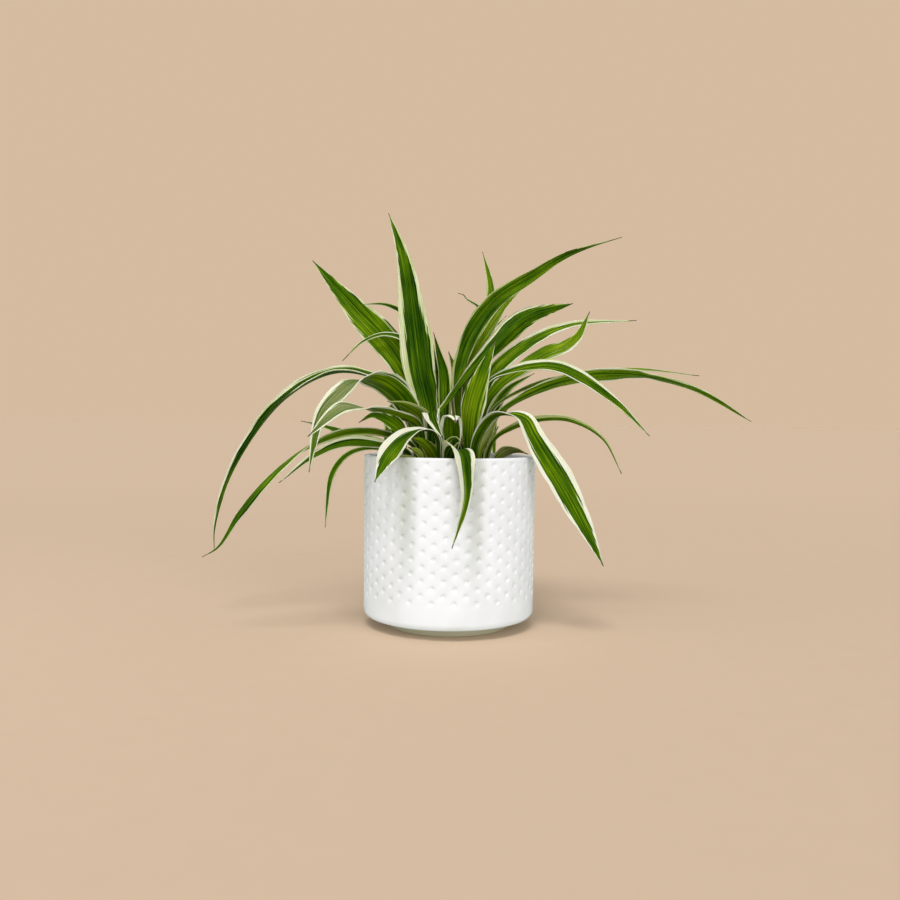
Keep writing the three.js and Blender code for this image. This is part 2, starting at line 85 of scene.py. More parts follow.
@dataclass(frozen=True)
class Leaf:
    """The driving values and the look of one leaf.

    A list runs from the foot to the tip at even steps. Left and right are as seen from above,
    with the tip pointing away.

    Attributes:
        name: The leaf's name, which its CAD node has after "leaf_".
        crown: The crown that it grows from.
        bearing: The bearing of its foot round the crown.
        distance: How far its foot is from the crown's middle.
        width: Its greatest width.
        widest: Where along it that is, from 0 to 1.
        route: The points that its midrib runs through after the foot, the tip last.
        taper: How it narrows from there: above 1 it stays wide for longer.
        turn: Its turn about its own midrib.
        fold: How far its halves are folded up.
        left: The cream margin on the left, as a share of half the width.
        right: The same on the right.
        tone: The green between them, from 0, dark, to 1, bright; for leaves in shade, such as the inner
            ones and rim_right, it is raised as painted light.
        sheen_share: How much painted grey-green sheen lies over the green where a bend faces the light,
            from 0 to 1.
        dry: The length of the brown tip.
        middle: The strength of a pale stripe along the midrib.
        edge: The share of the left and the right edge that has dried, from 0 to 1.
        lime: How greenish its margins are, from 0, cream; for the inner leaves it is raised as painted
            light, for the green light inside the foliage.
    """

    name: str
    crown: Crown
    bearing: float
    distance: float
    width: float
    widest: float
    route: tuple[Point, ...]
    taper: float = 1.25
    turn: Numbers = (0.0, 0.0)
    fold: Numbers = (44.0, 26.0, 16.0, 14.0, 20.0)
    left: Numbers = (0.3, 0.3)
    right: Numbers = (0.3, 0.3)
    tone: Numbers = (0.4, 0.4)
    sheen_share: Numbers = (0.0, 0.0)
    dry: float = 5.0
    middle: float = 0.0
    edge: Numbers = (0.0, 0.0)
    lime: float = 0.15


# The inner leaves and rim_right have brighter tones and greener margins as painted light, to make up for
# the shade among the leaves.
LEAVES: tuple[Leaf, ...] = (
    Leaf(
        "tall", Crown.LEFT, bearing=80, distance=5, width=26, widest=0.46, taper=1.15,
        route=((-15, 11, 147), (-22, 16, 179), (-27, 21, 212), (-36, 32, 263), (-48, 43, 297)),
        fold=(44, 26, 14, 10, 16),
        left=(0.3, 0.3, 0.3, 0.3, 0.28, 0.24, 0.25), right=(0.1, 0.1, 0.1, 0.14, 0.3, 0.36, 0.3),
        tone=(0.5, 0.3, 0.14, 0.1, 0.15, 0.25, 0.3), lime=0.17,
    ),
    Leaf(
        "upper_left", Crown.LEFT, bearing=118, distance=11.5, width=23, widest=0.62, taper=1.15,
        route=((-20, 18, 149), (-40, 27, 190), (-72, 37, 225), (-105, 47, 262)),
        turn=(-25, -30),
        left=(0.25, 0.25, 0.2, 0.13, 0.12, 0.14, 0.18), right=(0.1, 0.08, 0.06, 0.06, 0.1, 0.14, 0.15),
        tone=(0.42, 0.5, 0.5, 0.45, 0.38, 0.36), lime=0.14,
    ),
    Leaf(
        "far_left_high", Crown.LEFT, bearing=170, distance=6.5, width=13.5, widest=0.5, taper=1.8,
        route=(
            (-19, 6, 145), (-38, 10, 164.5), (-80, 17, 176.5), (-119.5, 18, 157), (-157, 16, 104),
            (-169, 14, 63.5), (-169.3, 13, 47.5),
        ),
        turn=(-15, -18, -22, -48, -60, -55), fold=(48, 44, 42, 48, 48, 34),
        left=(0.15, 0.25, 0.3, 0.1, 0, 0, 0), right=(0.04, 0.04, 0.06, 0.2, 0.3, 0.34, 0.3, 0.26),
        tone=(0.5, 0.45, 0.3, 0.22, 0.2, 0.18), lime=0.05,
    ),
    Leaf(
        "broad_left", Crown.LEFT, bearing=212, distance=6.5, width=22.5, widest=0.42,
        route=(
            (-29, -3.5, 149.5), (-45.5, -16.5, 167), (-60.5, -32, 169), (-81, -50, 150), (-86, -55, 135),
            (-90, -60, 109),
        ),
        turn=(30, 40, 48, 34, -20, -28, -30),
        left=(0.04, 0.06, 0.14, 0.2, 0.26, 0.28, 0.3), right=(0.12, 0.12, 0.12, 0.16, 0.4, 0.4, 0.3),
        tone=(0.45, 0.36, 0.4, 0.42, 0.35, 0.4), sheen_share=(0, 0, 0, 0, 0, 1, 0.9, 0.2, 0), lime=0.04,
    ),
    Leaf(
        "pale_left", Crown.LEFT, bearing=240, distance=9.5, width=15, widest=0.72,
        route=((-22, -10, 138), (-41, -32, 146.5), (-57, -48, 150), (-69, -60, 150), (-89, -72, 132)),
        turn=(0, 25, 22, -35, -60),
        left=(0.1, 0.15, 0.15, 0.25, 0.36, 0.36), right=(0.1, 0.1, 0.15, 0.26, 0.3, 0.28),
        tone=(0.5, 0.5, 0.55, 0.4, 0.4), sheen_share=(0, 0, 0, 0, 0, 0.9, 1, 1, 0.6), lime=0.05,
    ),
    Leaf(
        "inner_left", Crown.LEFT, bearing=258, distance=6.5, width=12, widest=0.6,
        route=((-19, -7, 144), (-25, -13.5, 150), (-32, -20, 153.5), (-42.5, -27, 155.5)),
        left=(0.45, 0.45, 0.42, 0.3), right=(0.05, 0.05),
        tone=(0.62, 0.55), dry=0.5, lime=0.5,
    ),
    Leaf(
        "thin_back_left", Crown.LEFT, bearing=85, distance=9, width=6.6, widest=0.65,
        route=((-12, 18, 158), (-22, 26, 192), (-34, 31, 220), (-48, 31, 227.5), (-66, 26, 227)),
        right=(0.2, 0.2),
        tone=(0.3, 0.3),
    ),
    Leaf(
        "thin_left", Crown.LEFT, bearing=126, distance=7, width=6.6, widest=0.62,
        route=((-22, 17, 168), (-33, 23, 200), (-48, 23, 205), (-64, 19, 199), (-78, 14, 185)),
        tone=(0.3, 0.3), dry=14,
    ),
    Leaf(
        "centre", Crown.LEFT, bearing=23, distance=7.6, width=10.5, widest=0.58,
        route=((-3.8, 11, 147), (-4.8, 16, 176), (-8.3, 20, 190), (-13, 23, 207)),
        turn=(50, 45),
        left=(0.15, 0.15), right=(0.2, 0.2),
        tone=(0.3, 0.25), lime=0.35,
    ),
    Leaf(
        "centre_back", Crown.LEFT, bearing=50, distance=9.5, width=9, widest=0.45,
        route=((-7, 18, 153), (-9, 22, 172), (-13, 26, 198)),
        tone=(0.2, 0.2), lime=0.35,
    ),
    Leaf(
        "upper_right", Crown.LEFT, bearing=310, distance=5.3, width=18.5, widest=0.72,
        route=((-10, -1, 143), (-1, 3, 157), (10, 9, 171), (33, 22, 198), (56, 30, 220), (90, 38, 231)),
        turn=(-15, -25), fold=(60, 70, 68, 44, 18, 14),
        left=(0.3, 0.2, 0.12, 0.08, 0.08), right=(0.5, 0.4, 0.2, 0.2, 0.3, 0.25),
        tone=(0.4, 0.3, 0.3, 0.3, 0.4), edge=(0, 0.5),
    ),
    Leaf(
        "dark_inner", Crown.LEFT, bearing=300, distance=11, width=11, widest=0.5,
        route=((-9, -9.5, 113), (-13, -16, 122), (-20, -21, 129), (-27, -24, 131)),
        left=(0.1, 0.1), right=(0.15, 0.15),
        tone=(0.7, 0.6), lime=0.4,
    ),
    Leaf(
        "short_front", Crown.LEFT, bearing=272, distance=10.3, width=13, widest=0.6,
        route=((-13, -10, 138), (-13, -17, 148), (-12, -29, 144), (-9, -38, 138), (-4.5, -43, 131)),
        turn=(0, 0, 20, 20),
        left=(0.2, 0.2, 0.2), right=(0.4, 0.55, 0.6),
        tone=(0.3, 0.3), lime=0.03,
    ),
    Leaf(
        "whip_right", Crown.RIGHT, bearing=130, distance=7.5, width=15, widest=0.5, taper=1,
        route=(
            (4, 14, 158), (5, 18, 180), (13, 24, 205), (32, 30, 232), (58, 34, 250), (85, 36, 267),
            (125, 36, 280),
        ),
        turn=(-5, -8, -10, -12, -12, 10, 60),
        left=(0.35, 0.35, 0.3, 0.14, 0.06, 0.06, 0.06), right=(0.2, 0.15, 0.08, 0.06, 0.06, 0.1),
        tone=(0.45, 0.35, 0.25, 0.3, 0.4), dry=22, edge=(0.35, 0), lime=0.2,
    ),
    Leaf(
        "behind_whip", Crown.RIGHT, bearing=105, distance=12.5, width=14.5, widest=0.5,
        route=((7, 24, 165), (12, 28, 184), (20, 32, 199), (40, 40, 230), (54, 44, 244)),
        left=(0.15, 0.12, 0.12, 0.12), right=(0.2, 0.2, 0.3, 0.2),
        tone=(0.6, 0.6),
    ),
    Leaf(
        "centre_point", Crown.RIGHT, bearing=135, distance=13.5, width=12, widest=0.62,
        route=((5, 27, 158), (3, 29, 178), (-2, 32, 194)),
        turn=(-20, -20),
        left=(0.2, 0.2), right=(0.15, 0.15),
    ),
    Leaf(
        "curly_back", Crown.RIGHT, bearing=95, distance=9, width=10.2, widest=0.62, taper=0.75,
        route=(
            (20, 30, 169), (27, 38, 200), (21, 43, 227), (10.8, 43, 234.2), (8.7, 42, 237), (4.6, 42, 238),
        ),
        tone=(0.3, 0.3), dry=12,
    ),
    Leaf(
        "back_point", Crown.RIGHT, bearing=75, distance=13, width=12, widest=0.7, taper=1.05,
        route=((22, 40, 173), (29, 50, 227), (29, 53, 246), (23, 58, 272)),
        left=(0.4, 0.4, 0.4, 0.35), right=(0.12, 0.12, 0.12, 0.12),
        tone=(0.5, 0.5),
    ),
    Leaf(
        "front_upright", Crown.RIGHT, bearing=250, distance=9, width=18.5, widest=0.55,
        route=((13, 0, 130), (15, -2, 153), (23, -2, 180), (31, 0, 199)),
        left=(0.2, 0.2, 0.2, 0.2, 0.2), right=(0.1, 0.1),
        tone=(0.75, 0.6, 0.42, 0.36),
    ),
    Leaf(
        "hanging_right", Crown.RIGHT, bearing=278, distance=12.5, width=22, widest=0.66, taper=1.5,
        route=(
            (18, -6, 128), (31, -15, 146), (48.5, -23, 144.5), (55.5, -27, 133), (67, -30, 114),
            (79, -33, 94), (103, -38, 47.5),
        ),
        turn=(0, 0, 75, 85, 82, 80),
        left=(0.15, 0.15, 0.25, 0.36, 0.38, 0.3, 0.2), right=(0.2, 0.25, 0.32, 0.3, 0.3, 0.25, 0.12),
        tone=(0.5, 0.42, 0.34, 0.33, 0.36), middle=0.07, lime=-0.06,
    ),
    Leaf(
        "inner_right", Crown.RIGHT, bearing=300, distance=9, width=12.5, widest=0.55,
        route=((20.5, 0.5, 122), (26, -2, 136), (32, -4, 146), (39.5, -5, 150.5)),
        left=(0.12, 0.12), right=(0.2, 0.2),
        tone=(1, 0.95, 0.9), middle=0.3, lime=0.3,
    ),
    Leaf(
        "arching_right", Crown.RIGHT, bearing=330, distance=6.5, width=12, widest=0.6,
        route=(
            (22, 6, 140), (27, 4, 169), (43, 2, 177.5), (71, -2, 181.5), (94, -6, 172), (118, -9, 154),
            (138, -11, 134),
        ),
        turn=(0, 20, 50, 75, 80, 80), fold=(44, 36, 28, 18, 16),
        left=(0.1, 0.1, 0.15, 0.4, 0.4, 0.3, 0.2), right=(0.15, 0.15, 0.2, 0.2, 0.2, 0.2, 0.2),
        tone=(0.5, 0.45, 0.4, 0.35, 0.4), lime=0.08,
    ),
    Leaf(
        "bright_right", Crown.RIGHT, bearing=20, distance=7, width=13.5, widest=0.72, taper=1.3,
        route=(
            (25, 14, 152), (35, 16, 168), (51, 19, 180), (68, 22, 191), (84, 24, 198), (93, 26, 206),
            (101, 28, 224),
        ),
        turn=(35, 45),
        left=(0.1, 0.08, 0.06, 0.06, 0.1), right=(0.1, 0.1, 0.2, 0.35, 0.35, 0.2),
        tone=(0.4, 0.45, 0.55, 0.58, 0.45),
    ),
    Leaf(
        "thin_right", Crown.RIGHT, bearing=55, distance=10, width=13, widest=0.48, taper=0.95,
        route=((24, 24, 160), (32, 27, 179), (62, 35, 204), (87, 40, 215), (139, 46, 220)),
        turn=(5, 25),
        left=(0.08, 0.08, 0.08, 0.1, 0.36, 0.6, 0.66, 0.6), right=(0.1, 0.1, 0.12, 0.2, 0.4, 0.5),
        tone=(0.35, 0.35, 0.4, 0.45), dry=12, lime=0.06,
    ),
    Leaf(
        "far_right", Crown.RIGHT, bearing=345, distance=9, width=12, widest=0.55,
        route=(
            (27, 9, 132), (36, 14, 149), (71, 21, 169), (109, 27, 177), (144, 31, 177), (184, 35, 167),
            (224, 37, 145),
        ),
        turn=(-15, -25, -30, -28, -26, -20, 14, 5, -25, -30),
        left=(0.1, 0.1, 0.12, 0.16, 0.16, 0.16, 0.3, 0.1),
        right=(0.3, 0.3, 0.25, 0.16, 0.12, 0.1, 0.4, 0.2, 0.1),
        tone=(0.55, 0.52, 0.5, 0.45, 0.4, 0.35),
    ),
    Leaf(
        "far_right_back", Crown.RIGHT, bearing=22, distance=12, width=7, widest=0.5,
        route=((29, 17, 147), (51, 25, 165), (103, 37, 180), (137, 41, 183), (187, 46, 179)),
        turn=(10, 30),
        left=(0.2, 0.25), right=(0.1, 0.1),
        tone=(0.45, 0.45), sheen_share=(0.1, 0.2), dry=12,
    ),
    Leaf(
        "short_right", Crown.RIGHT, bearing=38, distance=12, width=9.5, widest=0.5,
        route=((29, 24, 140), (34, 28, 155), (43, 32, 167), (62, 37, 179)),
        turn=(35, 50),
        left=(0.25, 0.25),
        tone=(0.35, 0.3),
    ),
    Leaf(
        "lower_right", Crown.RIGHT, bearing=310, distance=12, width=6.5, widest=0.42,
        route=(
            (26.8, 0, 121), (32, -2, 131), (41, -5, 137.4), (59, -7, 144.2), (83, -11, 144.5),
            (105, -15, 132), (118, -17, 108),
        ),
        turn=(-12, -18),
        left=(0.15, 0.15), right=(0.35, 0.45, 0.7, 0.7, 0.4),
        lime=0.25,
    ),
    Leaf(
        "rim_right", Crown.RIGHT, bearing=5, distance=13.5, width=11, widest=0.55,
        route=((33.5, 12.5, 114), (40, 10, 121.3), (47.5, 5, 122.2), (55, -1, 120)),
        turn=(-20, -60, -60),
        left=(0.25, 0.3), right=(0.45, 0.5),
        tone=(1, 1), lime=0.3,
    ),
    Leaf(
        "over_rim_left", Crown.FRONT, bearing=206, distance=6.8, width=15.5, widest=0.77, taper=1.05,
        route=(
            (-8.2, -35, 118), (-8.8, -35.6, 129), (-12, -37.6, 134.8), (-16.5, -40, 136),
            (-23, -43, 134.8), (-30.5, -48, 130.8), (-39, -55, 121.5), (-47.8, -62, 103.4),
        ),
        turn=(0, 0, 0, -8, -36, -44, -30), fold=(44, 40, 24, 20, 24, 26, 16, 16, 20),
        left=(0.1, 0.1, 0.12, 0.15, 0.16, 0.2), right=(0.2, 0.3, 0.5, 0.55, 0.5, 0.4),
        tone=(0.15, 0.2, 0.28, 0.35), dry=1.5, lime=-0.04,
    ),
    Leaf(
        "over_rim_front", Crown.FRONT, bearing=270, distance=7.5, width=20, widest=0.35, taper=0.85,
        route=((0, -46, 119), (3, -54, 124.5), (7, -62, 122), (9, -67, 112), (10, -68, 94), (2, -66, 62)),
        left=(0.4, 0.4, 0.34, 0.28, 0.26, 0.28), right=(0.6, 0.8, 0.85, 0.75, 0.6, 0.42, 0.3),
        tone=(0.3, 0.3, 0.35, 0.45, 0.4), lime=0.02,
    ),
    Leaf(
        "curled_front", Crown.FRONT, bearing=90, distance=4, width=15.6, widest=0.62, taper=1.7,
        route=((0.4, -31, 128), (0.5, -35.5, 141), (0.9, -42, 147), (2.8, -48.5, 145), (3.6, -51, 141.5)),
        left=(0.12, 0.2, 0.3, 0.35, 1), right=(0.08, 0.08, 0.1, 0.3, 1),
        tone=(0.3, 0.3), lime=-0.1,
    ),
    Leaf(
        "small_front_left", Crown.FRONT, bearing=250, distance=4.2, width=4, widest=0.5,
        route=((-4, -38, 120), (-1, -43, 130), (4, -47, 132), (8, -49, 128)),
        tone=(0.5, 0.5), lime=0.2,
    ),
    Leaf(
        "small_front_right", Crown.FRONT, bearing=320, distance=4.2, width=4, widest=0.5,
        route=((1, -38, 120), (4, -41, 127), (9, -44, 131)),
        tone=(0.5, 0.5), lime=0.2,
    ),
    Leaf(
        "far_left_low", Crown.SIDE, bearing=45, distance=6, width=11, widest=0.5,
        route=(
            (-24, -13, 124), (-43, -25, 134), (-70, -37, 135), (-101, -45, 120), (-136, -48, 82),
            (-151, -47.5, 58.5), (-161.5, -47, 51.7),
        ),
        turn=(20, 42, 34, -25, -60, -70),
        left=(0.25, 0.25, 0.3, 0.1, 0.1), right=(0.25, 0.25, 0.2, 0.12, 0.12),
        tone=(0.5, 0.5, 0.45, 0.25, 0.25),
    ),
    Leaf(
        "pale_low_left", Crown.SIDE, bearing=285, distance=5, width=8.5, widest=0.5,
        route=((-28, -28, 121), (-47, -37, 127), (-68, -48, 128), (-87, -56, 120), (-109, -61, 102)),
        left=(0.5, 0.55, 0.55, 0.6, 0.7), right=(0.15, 0.2, 0.3, 0.4),
        tone=(0.3, 0.3), lime=0.12,
    ),
    Leaf(
        "rim_left", Crown.SIDE, bearing=185, distance=8, width=5.5, widest=0.6,
        route=((-41, -14, 119), (-54, -12, 123), (-70, -12, 119), (-81, -12, 105), (-86, -12, 68)),
        turn=(-30, -70, -85),
        left=(0.15, 0.15), right=(0.2, 0.2),
        tone=(0.3, 0.35),
    ),
    Leaf(
        "dry_tip_left", Crown.SIDE, bearing=180, distance=4, width=13, widest=0.6, taper=0.8,
        route=((-32, -21, 122), (-34, -31, 136), (-44, -41, 144), (-51, -44, 146), (-60, -46, 141)),
        turn=(0, -20, -30, -30),
        left=(0.1, 0.1), right=(0.1, 0.12),
        tone=(0.35, 0.3), dry=8,
    ),
    Leaf(
        "low_back_left", Crown.SIDE, bearing=100, distance=7, width=8, widest=0.35,
        route=(
            (-36.5, -6, 117), (-46, -3.5, 124.5), (-54.5, -2, 127.8), (-76.5, 2, 133.8), (-88.6, 6, 137.6),
            (-107.4, 14, 141.5),
        ),
        left=(0.2, 0.2), right=(0.2, 0.2),
        tone=(0.3, 0.25), dry=10,
    ),
    Leaf(
        "dark_side", Crown.SIDE, bearing=350, distance=7, width=8.5, widest=0.5,
        route=((-17.5, -19, 113), (-21, -28, 121.5), (-28, -35, 125)),
        left=(0.2, 0.2), right=(0.15, 0.15),
        tone=(0.85, 0.75), lime=0.4,
    ),
    Leaf(
        "dark_low", Crown.SIDE, bearing=305, distance=7, width=7.5, widest=0.5,
        route=((-22.5, -25.5, 112), (-29, -35, 117.5), (-37.5, -38.5, 119.5)),
        left=(0.2, 0.2), right=(0.15, 0.15),
        tone=(0.85, 0.75), lime=0.4,
    ),
    Leaf(
        "back_1", Crown.LEFT, bearing=92, distance=11.8, width=12, widest=0.5,
        route=((-15, 24, 130), (-17, 42, 162), (-20, 68, 183), (-24, 98, 160), (-27, 122, 100)),
        left=(0.3, 0.35, 0.3), right=(0.25, 0.2, 0.25),
        tone=(0.35, 0.5, 0.4),
    ),
    Leaf(
        "back_2", Crown.LEFT, bearing=144, distance=11.6, width=11, widest=0.5,
        route=((-29, 24, 134), (-38, 45, 154), (-48, 72, 138), (-52, 92, 92)),
        left=(0.2, 0.2, 0.3), right=(0.35, 0.4, 0.3),
        tone=(0.3, 0.4, 0.5),
    ),
    Leaf(
        "back_3", Crown.RIGHT, bearing=88, distance=13.5, width=12, widest=0.5,
        route=((22, 42, 150), (28, 70, 178), (34, 104, 155), (38, 130, 98)),
        left=(0.35, 0.4, 0.35), right=(0.3, 0.3, 0.2),
        tone=(0.4, 0.6, 0.5),
    ),
    Leaf(
        "back_4", Crown.RIGHT, bearing=59, distance=13, width=12, widest=0.5,
        route=((29, 38, 138), (38, 60, 164), (33, 92, 146), (29, 108, 96)),
        left=(0.2, 0.25, 0.2), right=(0.3, 0.35, 0.3),
        tone=(0.3, 0.4, 0.4),
    ),
    Leaf(
        "back_5", Crown.LEFT, bearing=101, distance=7.6, width=10, widest=0.5,
        route=((-17, 27, 146), (-23, 50, 179), (-30, 78, 214), (-39, 108, 250)),
        left=(0.3, 0.3, 0.25), right=(0.25, 0.3, 0.3),
        tone=(0.3, 0.3, 0.45),
    ),
    Leaf(
        "back_6", Crown.LEFT, bearing=158, distance=10, width=12, widest=0.5,
        route=((-26, 22, 146), (-38, 48, 180), (-60, 78, 208), (-85, 102, 230)),
        turn=(-20, -25),
        left=(0.35, 0.3, 0.2), right=(0.2, 0.2, 0.2),
        tone=(0.4, 0.55, 0.5),
    ),
    Leaf(
        "back_7", Crown.RIGHT, bearing=122, distance=14, width=10, widest=0.45,
        route=((10, 36, 152), (15, 60, 186), (28, 90, 210), (45, 114, 230)),
        turn=(0, 10),
        left=(0.3, 0.25, 0.2), right=(0.4, 0.35, 0.3),
        tone=(0.35, 0.4, 0.5),
    ),
    Leaf(
        "back_8", Crown.LEFT, bearing=60, distance=11.6, width=13, widest=0.5,
        route=((-7, 30, 146), (-8, 66, 170), (-10, 104, 151), (-12, 124, 98)),
        left=(0.3, 0.4, 0.35), right=(0.3, 0.25, 0.3),
        tone=(0.3, 0.45, 0.4),
    ),
    Leaf(
        "back_9", Crown.LEFT, bearing=26, distance=12, width=6.5, widest=0.6,
        route=((-2.5, 16, 136), (-2, 26, 160), (-3, 38, 180)),
        turn=(30, 40),
        left=(0.2, 0.2), right=(0.2, 0.2),
        tone=(0.2, 0.2), lime=0.35,
    ),
    Leaf(
        "inner_low", Crown.RIGHT, bearing=320, distance=10.5, width=7.5, widest=0.5,
        route=((26.5, 4.5, 118), (30.5, 2.5, 132), (34, 1, 139.5)),
        left=(0.2, 0.2),
        tone=(0.9, 0.85), lime=0.4,
    ),
)


def linear(colour: Colour) -> tuple[float, float, float, float]:
    """A colour as Blender's sockets take it.

    Args:
        colour: Red, green and blue from 0 to 255, as a screen shows them.

    Returns:
        The same colour in linear light, with alpha 1.
    """
    parts = [value / LEVELS for value in colour]
    light = [
        part / SRGB_SLOPE if part <= SRGB_KNEE else ((part + SRGB_LIFT) / (1.0 + SRGB_LIFT)) ** SRGB_POWER
        for part in parts
    ]
    return (light[0], light[1], light[2], 1.0)


def smooth(value: np.ndarray) -> np.ndarray:
    """The smooth step of values from 0 to 1."""
    held = np.clip(value, 0.0, 1.0)
    return held * held * (3.0 - 2.0 * held)


def along_list(values: Sequence[float], places: np.ndarray) -> np.ndarray:
    """The values of a list of even steps, at places from 0 to 1."""
    return np.interp(places, np.linspace(0.0, 1.0, len(values)), values)


def clear_selection() -> None:
    """Leaves edit mode and deselects everything."""
    if bpy.context.object and bpy.context.object.mode != "OBJECT":
        bpy.ops.object.mode_set(mode="OBJECT")
    bpy.ops.object.select_all(action="DESELECT")


def only(piece: bpy.types.Object) -> None:
    """Makes a piece the only selected one, and the active one.

    Args:
        piece: The piece.
    """
    clear_selection()
    piece.select_set(True)
    bpy.context.view_layer.objects.active = piece


def close_up() -> None:
    """Turns all the faces of the mesh in edit mode outwards, and leaves edit mode."""
    bpy.ops.mesh.select_all(action="SELECT")
    bpy.ops.mesh.normals_make_consistent(inside=False)
    bpy.ops.object.mode_set(mode="OBJECT")


def flat_grid(columns: int, rows: int) -> tuple[bpy.types.Object, np.ndarray]:
    """Adds a flat grid that runs from -1 to 1 both ways.

    Args:
        columns: How many faces lie side by side.
        rows: How many lie one above the other.

    Returns:
        The grid, and the places of its vertices.
    """
    clear_selection()
    bpy.ops.mesh.primitive_grid_add(x_subdivisions=columns, y_subdivisions=rows, size=2.0, calc_uvs=True)
    piece = bpy.context.object
    flat = np.empty(len(piece.data.vertices) * 3, dtype=np.float32)
    piece.data.vertices.foreach_get("co", flat)
    return piece, flat.reshape(-1, 3)


def grid_lines(places: np.ndarray, parts: int) -> np.ndarray:
    """The numbers of the grid lines that places from -1 to 1 lie on."""
    return np.rint((places + 1) / 2 * parts).astype(int)


def pick_edges(piece: bpy.types.Object, wanted: Callable[[Vector], bool]) -> None:
    """Selects the open edges of a mesh in edit mode whose two ends are wanted.

    Args:
        piece: The object, in edit mode.
        wanted: Says for a vertex's place whether it counts.
    """
    bpy.ops.mesh.select_all(action="DESELECT")
    mesh = bmesh.from_edit_mesh(piece.data)
    for edge in mesh.edges:
        if edge.is_boundary and all(wanted(vertex.co) for vertex in edge.verts):
            edge.select_set(True)
    bmesh.update_edit_mesh(piece.data)


def extrude_rings(profile: Sequence[tuple[float, float]], start: tuple[float, float]) -> None:
    """Extrudes the selected ring or disc through a profile about the Z axis.

    Args:
        profile: The radius and height of each new ring, in millimetres.
        start: The radius and height of the selected ring.
    """
    radius, height = start
    for new_radius, new_height in profile:
        bpy.ops.mesh.extrude_region_move(
            TRANSFORM_OT_translate={"value": (0.0, 0.0, (new_height - height) * MM)}
        )
        share = new_radius / radius
        bpy.ops.transform.resize(value=(share, share, 1.0), center_override=(0.0, 0.0, 0.0))
        radius, height = new_radius, new_height


def sweep_edge(
    piece: bpy.types.Object,
    wanted: Callable[[Vector], bool],
    profile: Sequence[tuple[float, float]],
    start: tuple[float, float],
) -> None:
    """Extrudes an open edge of a mesh in edit mode through a profile, and closes it at the middle.

    Args:
        piece: The object, in edit mode.
        wanted: Says for a vertex's place whether it is on the edge.
        profile: The radius and height of each new ring, in millimetres.
        start: The radius and height of the edge.
    """
    pick_edges(piece, wanted)
    extrude_rings(profile, start)
    bpy.ops.mesh.merge(type="CENTER")


def quarter_round(
    radius: float, height: float, size: float, turn: tuple[float, float], steps: int
) -> list[tuple[float, float]]:
    """The points of a quarter round in a profile.

    Args:
        radius: The radius of its middle.
        height: The height of its middle.
        size: Its own radius.
        turn: The angles that it runs between.
        steps: How many parts it has.

    Returns:
        The radius and height of each point, the first one left out.
    """
    points = []
    for step in range(1, steps + 1):
        angle = math.radians(turn[0] + (turn[1] - turn[0]) * step / steps)
        points.append((radius + size * math.cos(angle), height + size * math.sin(angle)))
    return points


def place_piece(piece: bpy.types.Object, name: str, nodes: Sequence[str] = ()) -> None:
    """Names a finished piece, lets it ride on the part, and hides the CAD nodes that it stands for.

    Args:
        piece: The finished object.
        name: Its name.
        nodes: The CAD nodes that it stands for.
    """
    piece.name = name
    piece.data.name = name
    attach(piece, BODY)
    if nodes:
        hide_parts(*nodes)
    LOG.info("%s: %d faces", name, len(piece.data.polygons))


